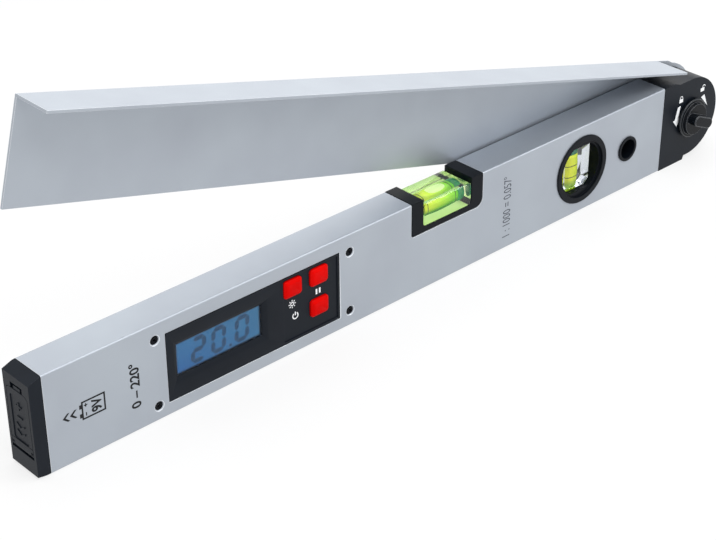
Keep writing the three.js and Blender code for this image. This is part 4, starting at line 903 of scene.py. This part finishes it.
for name, body in (("light", "light_button"), ("hold", "hold_button"), ("power", "power_button")):
    low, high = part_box("button_" + name)
    centre = ((low[0] + high[0]) / 2 / mm, (low[2] + high[2]) / 2 / mm)
    rings = []
    for y, halfWide, halfTall, radius in buttonLevels(buttonValues):
        rings.append(ringAt(y, roundedOutline(halfWide, halfTall, radius, centre)))
    mesh = meshFrom(loft(rings), "button_" + name + "_cap", buttonValues["sharpFrom"])
    cap = link("button_" + name + "_cap", mesh, finishes["red_button"], body)
    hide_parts("button_" + name)


# Marks beside the buttons
print("marking the button field")
keyMarks = {
    "face": -10.9, "thick": 0.03,
    "light": {"at": (-78.5, 32.0), "ring": (1.3, 0.75), "rays": 8, "ray": (1.7, 2.6), "line": 0.6},
    "hold": {"at": (-59.3, 32.6), "offset": 1.2, "halfHeight": 1.7, "line": 1.2},
    "power": {
        "at": (-76.4, 23.6), "radius": 1.9, "start": 125, "sweep": 290, "stem": (0.3, 2.6), "line": 0.7,
    },
}


def lightOutlines(mark):
    # a ring with rays around it
    centre = Vector(mark["at"])
    near, far = mark["ray"]
    outlines = [circlePoints(radius, mark["at"]) for radius in mark["ring"]]
    for i in range(mark["rays"]):
        angle = math.radians(360 * i / mark["rays"])
        ray = Vector((math.cos(angle), math.sin(angle)))
        outlines.append(barOutline(centre + ray * near, centre + ray * far, mark["line"]))
    return outlines


def holdOutlines(mark):
    # two upright bars
    x, z = mark["at"]
    tall = mark["halfHeight"]
    sides = (x - mark["offset"], x + mark["offset"])
    return [barOutline((side, z - tall), (side, z + tall), mark["line"]) for side in sides]


def powerOutlines(mark):
    # an open ring with a stem in the gap
    x, z = mark["at"]
    low, high = mark["stem"]
    ring = arcBand(mark["radius"], mark["line"], mark["start"], mark["sweep"], mark["at"])
    return [ring, barOutline((x, z + low), (x, z + high), mark["line"])]


for name, draw in (("light", lightOutlines), ("hold", holdOutlines), ("power", powerOutlines)):
    outlines = draw(keyMarks[name])
    printShapes(name + "_mark", outlines, keyMarks["thick"], inkPlane(keyMarks), whiteInk)


# Countersunk screws beside the display, sunk a little into the tube
print("turning the bezel screws")
screwValues = {
    "sunk": 0.35, "head": 2.55, "edge": 0.25, "shank": 1.45, "coneDepth": 1.5, "length": 6.0,
    "axis": 0.05, "dish": 0.22, "dishRim": (0.02, 0.55), "edgeCurve": (0.4, 0.05),
    "recess": (3.1, 0.62), "recessDepth": 1.1, "firstTurn": 18, "nextTurn": 31, "sharpFrom": 35,
}


def screwProfile(face, values):
    # along the axis and out from it: the dished head, its rounded rim, the cone and the shank
    top = face + values["sunk"]
    stop = face + values["length"]
    head, edge = values["head"], values["edge"]
    rimDrop, rimShare = values["dishRim"]
    curveShare, curveIn = values["edgeCurve"]
    return [
        (top + values["dish"], values["axis"]), (top + rimDrop, head * rimShare), (top, head - edge),
        (top + edge * curveShare, head - curveIn), (top + edge, head),
        (face + values["coneDepth"], values["shank"]), (stop, values["shank"]), (stop, values["axis"]),
    ]


for number in range(1, 5):
    name = "bezel_screw_%d" % number
    low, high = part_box(name)
    face = low[1] / mm
    centre = Vector(((low[0] + high[0]) / 2, 0, (low[2] + high[2]) / 2))
    rings = barrelRings(screwProfile(face, screwValues))
    mesh = meshFrom(loft(rings), name + "_head", screwValues["sharpFrom"])
    mesh.transform(Matrix.Translation(centre) @ Matrix.Rotation(math.radians(90), 4, "Z"))
    # each screw has been driven home at another angle
    turn = screwValues["firstTurn"] + screwValues["nextTurn"] * number
    cross = crossOutline((0, 0), *screwValues["recess"])
    recess = drawnOutlines("recess", [cross], screwValues["recessDepth"] * 2)
    place = onFront(centre.x / mm, face + screwValues["sunk"], centre.z / mm, turn)
    mesh = carve(name + "_head", mesh, meshFromCurve("recess", recess, place))
    screw = link(name + "_head", mesh, finishes["black_screw"], "body")
    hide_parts(name)


# Figures in the display
print("drawing the display's figures")
digitValues = {
    "y": -8.35, "thick": 0.03, "height": 16.4, "width": 10.2, "line": 2.8, "gap": 0.12, "lean": 0.07,
    "bottom": 22.1, "lefts": (-148.4, -134.6, -118.4),
    "point": {"left": -122.0, "width": 1.7, "height": 1.8, "lean": 0.1},
}
segmentsOn = {"2": "abged", "0": "abcdef"}


def segmentOutlines(left, digit):
    # one seven-segment figure as slim hexagons that lean to the right
    h, w, t, g = (digitValues[key] for key in ("height", "width", "line", "gap"))
    level = {"a": h - t / 2, "g": h / 2, "d": t / 2}
    upright = {
        "f": (t / 2, h / 2, h), "b": (w - t / 2, h / 2, h),
        "e": (t / 2, 0, h / 2), "c": (w - t / 2, 0, h / 2),
    }
    shapes = []
    for letter in segmentsOn[digit]:
        if letter in level:
            v = level[letter]
            a = t / 2 + g
            b = w - t / 2 - g
            shape = [(a, v), (a + t / 2, v - t / 2), (b - t / 2, v - t / 2)]
            shape += [(b, v), (b - t / 2, v + t / 2), (a + t / 2, v + t / 2)]
        else:
            u, low, high = upright[letter]
            a = max(low, t / 2) + g
            b = min(high, h - t / 2) - g
            shape = [(u, a), (u + t / 2, a + t / 2), (u + t / 2, b - t / 2)]
            shape += [(u, b), (u - t / 2, b - t / 2), (u - t / 2, a + t / 2)]
        shapes.append([(left + p + q * digitValues["lean"], digitValues["bottom"] + q) for p, q in shape])
    return shapes


def pointOutline(point, low):
    # the decimal point, which leans as the figures do
    left, high = point["left"], low + point["height"]
    right = left + point["width"]
    return [(left, low), (right, low), (right + point["lean"], high), (left + point["lean"], high)]


outlines = []
for left, digit in zip(digitValues["lefts"], "200"):
    outlines += segmentOutlines(left, digit)
outlines.append(pointOutline(digitValues["point"], digitValues["bottom"]))
printShapes("display_figures", outlines, digitValues["thick"], digitValues["y"], crystalInk)


# Marks on the hinge head: which way the knob turns, and a closed and an open lock
print("marking the hinge head")
headMarks = {
    "face": -11.5, "thick": 0.03,
    "leftArrow": [
        (257.6, 41.6), (260.4, 41.9), (258.4, 33.2), (260.2, 33.4),
        (257.7, 27.6), (253.4, 32.7), (255.3, 32.9),
    ],
    "rightWedge": [(281.9, 41.3), (285.4, 42.3), (289.5, 33.0)],
    "locks": ((260.4, 45.6, 0.0), (282.6, 46.8, 1.3)),
    "lock": {
        "halfWidth": 1.9, "low": -1.4, "high": 1.2, "leg": 1.8, "line": 0.55,
        "bow": 1.25, "bowRise": 1.75, "bowSteps": 12,
    },
}


def lockOutlines(x, z, swing, lock):
    # a padlock: its body, its bow and the bow's left leg; an open one has its bow swung aside
    wide, low, high = lock["halfWidth"], z + lock["low"], z + lock["high"]
    leg = x + swing - lock["bow"]
    return [
        [(x - wide, low), (x + wide, low), (x + wide, high), (x - wide, high)],
        arcBand(lock["bow"], lock["line"], 0, 180, (x + swing, z + lock["bowRise"]), lock["bowSteps"]),
        barOutline((leg, high), (leg, z + lock["leg"]), lock["line"]),
    ]


outlines = [headMarks["leftArrow"], headMarks["rightWedge"]]
for x, z, swing in headMarks["locks"]:
    outlines += lockOutlines(x, z, swing, headMarks["lock"])
printShapes("turn_marks", outlines, headMarks["thick"], inkPlane(headMarks), whiteInk)


# Battery door: a sunk panel with raised signs for the battery's poles and the way it slides in
print("sinking the battery door's panel")
doorValues = {
    "sunk": 0.45, "centre": (0.0, 31.5), "half": (6.6, 13.6), "corner": 1.6, "edge": 0.1,
    "sign": 4.6, "line": 1.1, "plusAt": (0.0, 39.5), "minusAt": (0.0, 32.6),
    "chevrons": ((0.0, 20.6), (0.0, 25.0)), "chevron": {"reach": 2.6, "halfHeight": 3.6, "line": 1.2},
}


def doorOutlines(values):
    # the panel's edge, and inside it the plus, the minus and two arrow heads that point down
    outlines = [roundedOutline(*values["half"], values["corner"], values["centre"])]
    outlines.append(crossOutline(values["plusAt"], values["sign"], values["line"]))
    u, v = values["minusAt"]
    reach = values["sign"] / 2
    outlines.append(barOutline((u - reach, v), (u + reach, v), values["line"]))
    for u, v in values["chevrons"]:
        shape = chevron((0, 0), **values["chevron"])
        outlines.append([(u + across, v + along) for along, across in shape])
    return outlines


made = bmesh.new()
made.from_mesh(nodes["battery_door"].data)
bmesh.ops.remove_doubles(made, verts=made.verts, dist=edgeValues["weld"] * mm)
flatWithin = math.radians(edgeValues["flatWithin"])
bmesh.ops.dissolve_limit(made, angle_limit=flatWithin, verts=made.verts, edges=made.edges)
mesh = meshFrom(made, "battery_door_panel", edgeValues["sharpFrom"])
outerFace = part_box("battery_door")[0][0] / mm
panel = drawnOutlines("panel", doorOutlines(doorValues), doorValues["sunk"] * 2)
mesh = carve("battery_door_panel", mesh, meshFromCurve("panel", panel, onLeftEnd(outerFace, 0, 0)))
door = link("battery_door_panel", mesh, finishes["black_plastic"], "door")
evenOut(door, True)
breakEdges(door, doorValues["edge"])
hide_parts("battery_door")


# The two vials
print("filling the vials")
# the bubble is painted pale and given a glow: a painted highlight
paintedHighlightBubble = clearAcrylic("air bubble", "#FAFFF4", 0.25, 0.02, 0.3, "#F6FFEC")
ringPaint = screenedInk("black ring paint", "#111316")
# the plug's teal is its colour; its glow is painted light
plugTint = clearAcrylic("teal tinted barrel plug", "#0A9A74", 0.25, 0.05, 0.12, "#00A078")
# a liquid darkens downwards, as painted shade, between the two heights of low, turns green along the two x
# of across, and has a painted glow
vials = {
    "horizontal_vial": {
        "centre": (41.0, 0, 49.6), "turn": 0, "length": 28, "radius": 5.3, "end": 4.7, "plug": 4.8,
        "bubble": (20.5, 8.4, 5.4), "bubbleAt": (42.2, 0, 52.0), "rings": (-11.4, 11.4),
        "liquid": {
            "low": (46.0, 50.2), "across": (28, 56), "bright": "#F4F63E", "green": "#7ADF42",
            "paintedShade": "#157C1A", "clear": 0.45, "glow": 0.22,
        },
    },
    "vertical_vial": {
        "centre": (161.4, 0, 27.0), "turn": 90, "length": 23.0, "radius": 5.5, "end": 5.0, "plug": 4.4,
        "bubble": (6.0, 6.0, 2.2), "bubbleAt": (161.4, 0, 36.6), "rings": (-3.9, 3.9),
        "liquid": {
            "low": (17, 22), "across": (158, 168), "bright": "#F6F428", "green": "#C4DE1C",
            "paintedShade": "#9CBF3A", "clear": 0.4, "glow": 0.3,
        },
    },
}
# how far in from its end a barrel is rounded, and by how much it is slimmer there
barrelValues = {
    "rounding": ((0.0, 0.9), (0.35, 0.25), (1.0, 0.0)), "axisShare": 0.2, "bulge": 0.8, "steps": 12,
    "plugGap": 0.1, "plugEdge": 0.3, "plugHole": 0.9, "sharpFrom": 60,
    "ringHalf": 0.25, "ringProud": 0.12, "ringThick": 0.1,
}
bubbleValues = {"steps": 28, "rows": 16, "above": 0.62, "below": 0.38, "fullness": 0.72, "tip": 0.02}


def barrelRadius(vial, along):
    # the barrel is widest at its middle, so that the bubble rests there
    share = along / (vial["length"] / 2 * barrelValues["bulge"])
    return vial["end"] + (vial["radius"] - vial["end"]) * (1 - share ** 2)


def liquidProfile(vial):
    half, end = vial["length"] / 2, vial["end"]
    ends = [(0.0, end * (1 - barrelValues["axisShare"]))] + list(barrelValues["rounding"])
    steps = barrelValues["steps"]
    bulge = half * barrelValues["bulge"]
    middle = [bulge * (2 * i / steps - 1) for i in range(1, steps)]
    profile = [(along - half, end - slimmer) for along, slimmer in ends]
    profile += [(along, barrelRadius(vial, along)) for along in middle]
    return profile + [(half - along, end - slimmer) for along, slimmer in ends[::-1]]


def plugProfile(vial):
    # a plug with broken edges just past the barrel's right end
    start = vial["length"] / 2 + barrelValues["plugGap"]
    stop = vial["length"] / 2 + vial["plug"]
    end, edge = vial["end"], barrelValues["plugEdge"]
    profile = [(start, end * barrelValues["axisShare"]), (start, end - edge), (start + edge, end)]
    return profile + [(stop - edge, end), (stop, end - edge), (stop, barrelValues["plugHole"])]


def ringProfile(vial, along):
    # a painted band that stands a little proud of the barrel
    outer = barrelRadius(vial, along) + barrelValues["ringProud"]
    inner = outer - barrelValues["ringThick"]
    left, right = along - barrelValues["ringHalf"], along + barrelValues["ringHalf"]
    return [(left, inner), (left, outer), (right, outer), (right, inner), (left, inner)]


def bubbleRings(length, width, height):
    # a long bubble: round in plan at its ends, and flat underneath
    steps, rows = bubbleValues["steps"], bubbleValues["rows"]
    rings = []
    for row in range(rows + 1):
        turn = math.pi * row / rows
        swell = max(math.sin(turn), bubbleValues["tip"]) ** bubbleValues["fullness"]
        along = -math.cos(turn) * length / 2
        ring = []
        for i in range(steps):
            angle = 2 * math.pi * i / steps
            up = math.sin(angle)
            rise = up * height * bubbleValues["above" if up > 0 else "below"]
            ring.append(Vector((along, math.cos(angle) * width / 2 * swell, rise * swell)) * mm)
        rings.append(ring)
    return rings


def vialPiece(name, rings, place, material, closed=True):
    mesh = meshFrom(loft(rings, closed), name, barrelValues["sharpFrom"])
    mesh.transform(place)
    return link(name, mesh, material, "body")


for name, vial in vials.items():
    spin = Matrix.Rotation(math.radians(-vial["turn"]), 4, "Y")
    place = Matrix.Translation(Vector(vial["centre"]) * mm) @ spin
    spirit = dyedLiquidWithPaintedLight(name.replace("_", " ") + " liquid", vial["liquid"])
    liquid = vialPiece(name + "_liquid", barrelRings(liquidProfile(vial)), place, spirit)
    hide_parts(name + "_capsule")
    vialPiece(name + "_plug", barrelRings(plugProfile(vial)), place, plugTint)
    bubblePlace = Matrix.Translation(Vector(vial["bubbleAt"]) * mm)
    vialPiece(name + "_bubble", bubbleRings(*vial["bubble"]), bubblePlace, paintedHighlightBubble)
    for side, along in zip(("left", "right"), vial["rings"]):
        rings = barrelRings(ringProfile(vial, along))
        vialPiece(name + "_ring_" + side, rings, place, ringPaint, False)


# Clear block of the round window: its corners follow the ring's bore
print("cutting the vial blocks")
prismValues = {
    "centre": (162.6, 30.0), "left": 12.0, "right": 12.2, "half": 15.25, "bore": 17.3,
    "depth": 7.0, "edge": 0.4, "cornerSteps": 6, "sharpFrom": 20,
}


def boreOutline(values):
    # straight sides, and corners that lie on the bore's circle
    bore, steps = values["bore"], values["cornerSteps"]
    outline = []
    for a, b, side in ((1, 1, "right"), (-1, 1, "left"), (-1, -1, "left"), (1, -1, "right")):
        low = math.acos(values[side] / bore)
        high = math.asin(values["half"] / bore)
        angles = [low + (high - low) * i / steps for i in range(steps + 1)]
        if a * b < 0:
            angles.reverse()
        outline += [(a * bore * math.cos(t), b * bore * math.sin(t)) for t in angles]
    return outline


x, z = prismValues["centre"]
depth, edge = prismValues["depth"], prismValues["edge"]
outline = boreOutline(prismValues)
rings = []
for y, inset in ((-depth, edge), (-depth + edge, 0), (depth - edge, 0), (depth, edge)):
    share = 1 - inset / prismValues["bore"]
    rings.append(ringAt(y, [(x + u * share, z + v * share) for u, v in outline]))
mesh = meshFrom(loft(rings), "vertical_vial_prism", prismValues["sharpFrom"])
prism = link("vertical_vial_prism", mesh, finishes["clear_acrylic"], "body")
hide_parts("vertical_vial_block")

# Lime block of the upright notch, solid around its barrel
blockValues = {
    "x": (22.8, 62.2), "y": 11.4, "z": (42.2, 57.0), "edge": 0.5, "corner": 1.9, "cornerShrink": 0.5,
    "sharpFrom": 20,
}
middle = (sum(blockValues["x"]) / 2, sum(blockValues["z"]) / 2)
halfWide, halfTall = ((blockValues[axis][1] - blockValues[axis][0]) / 2 for axis in ("x", "z"))
rings = []
for side, inset in ((-1, 1), (-1, 0), (1, 0), (1, 1)):
    cut = blockValues["edge"] * inset
    corner = blockValues["corner"] - cut * blockValues["cornerShrink"]
    far = blockValues["y"] - blockValues["edge"] * (1 - inset)
    rings.append(ringAt(side * far, roundedOutline(halfWide - cut, halfTall - cut, corner, middle)))
mesh = meshFrom(loft(rings), "horizontal_vial_prism", blockValues["sharpFrom"])
prism = link("horizontal_vial_prism", mesh, finishes["lime_acrylic"], "body")
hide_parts("horizontal_vial_block")

# Pale bed under the lime block; a painted glow stands in for the light that it throws back up through it
bedValues = {"x": (23.6, 61.4), "y": 10.8, "z": (42.35, 42.75), "corner": 0.8, "sharpFrom": 20}
left, right = bedValues["x"]
outline = roundedOutline((right - left) / 2, bedValues["y"], bedValues["corner"], ((left + right) / 2, 0))
rings = [[Vector((u, v, z)) * mm for u, v in outline] for z in bedValues["z"]]
mesh = meshFrom(loft(rings), "horizontal_vial_bed", bedValues["sharpFrom"])
# the bed's glow is painted light
bed = clearAcrylic("lime acrylic with painted glow", "#E4F8CC", 0.2, 0.3, 0.22, "#E4FFC8")
link("horizontal_vial_bed", mesh, bed, "body")
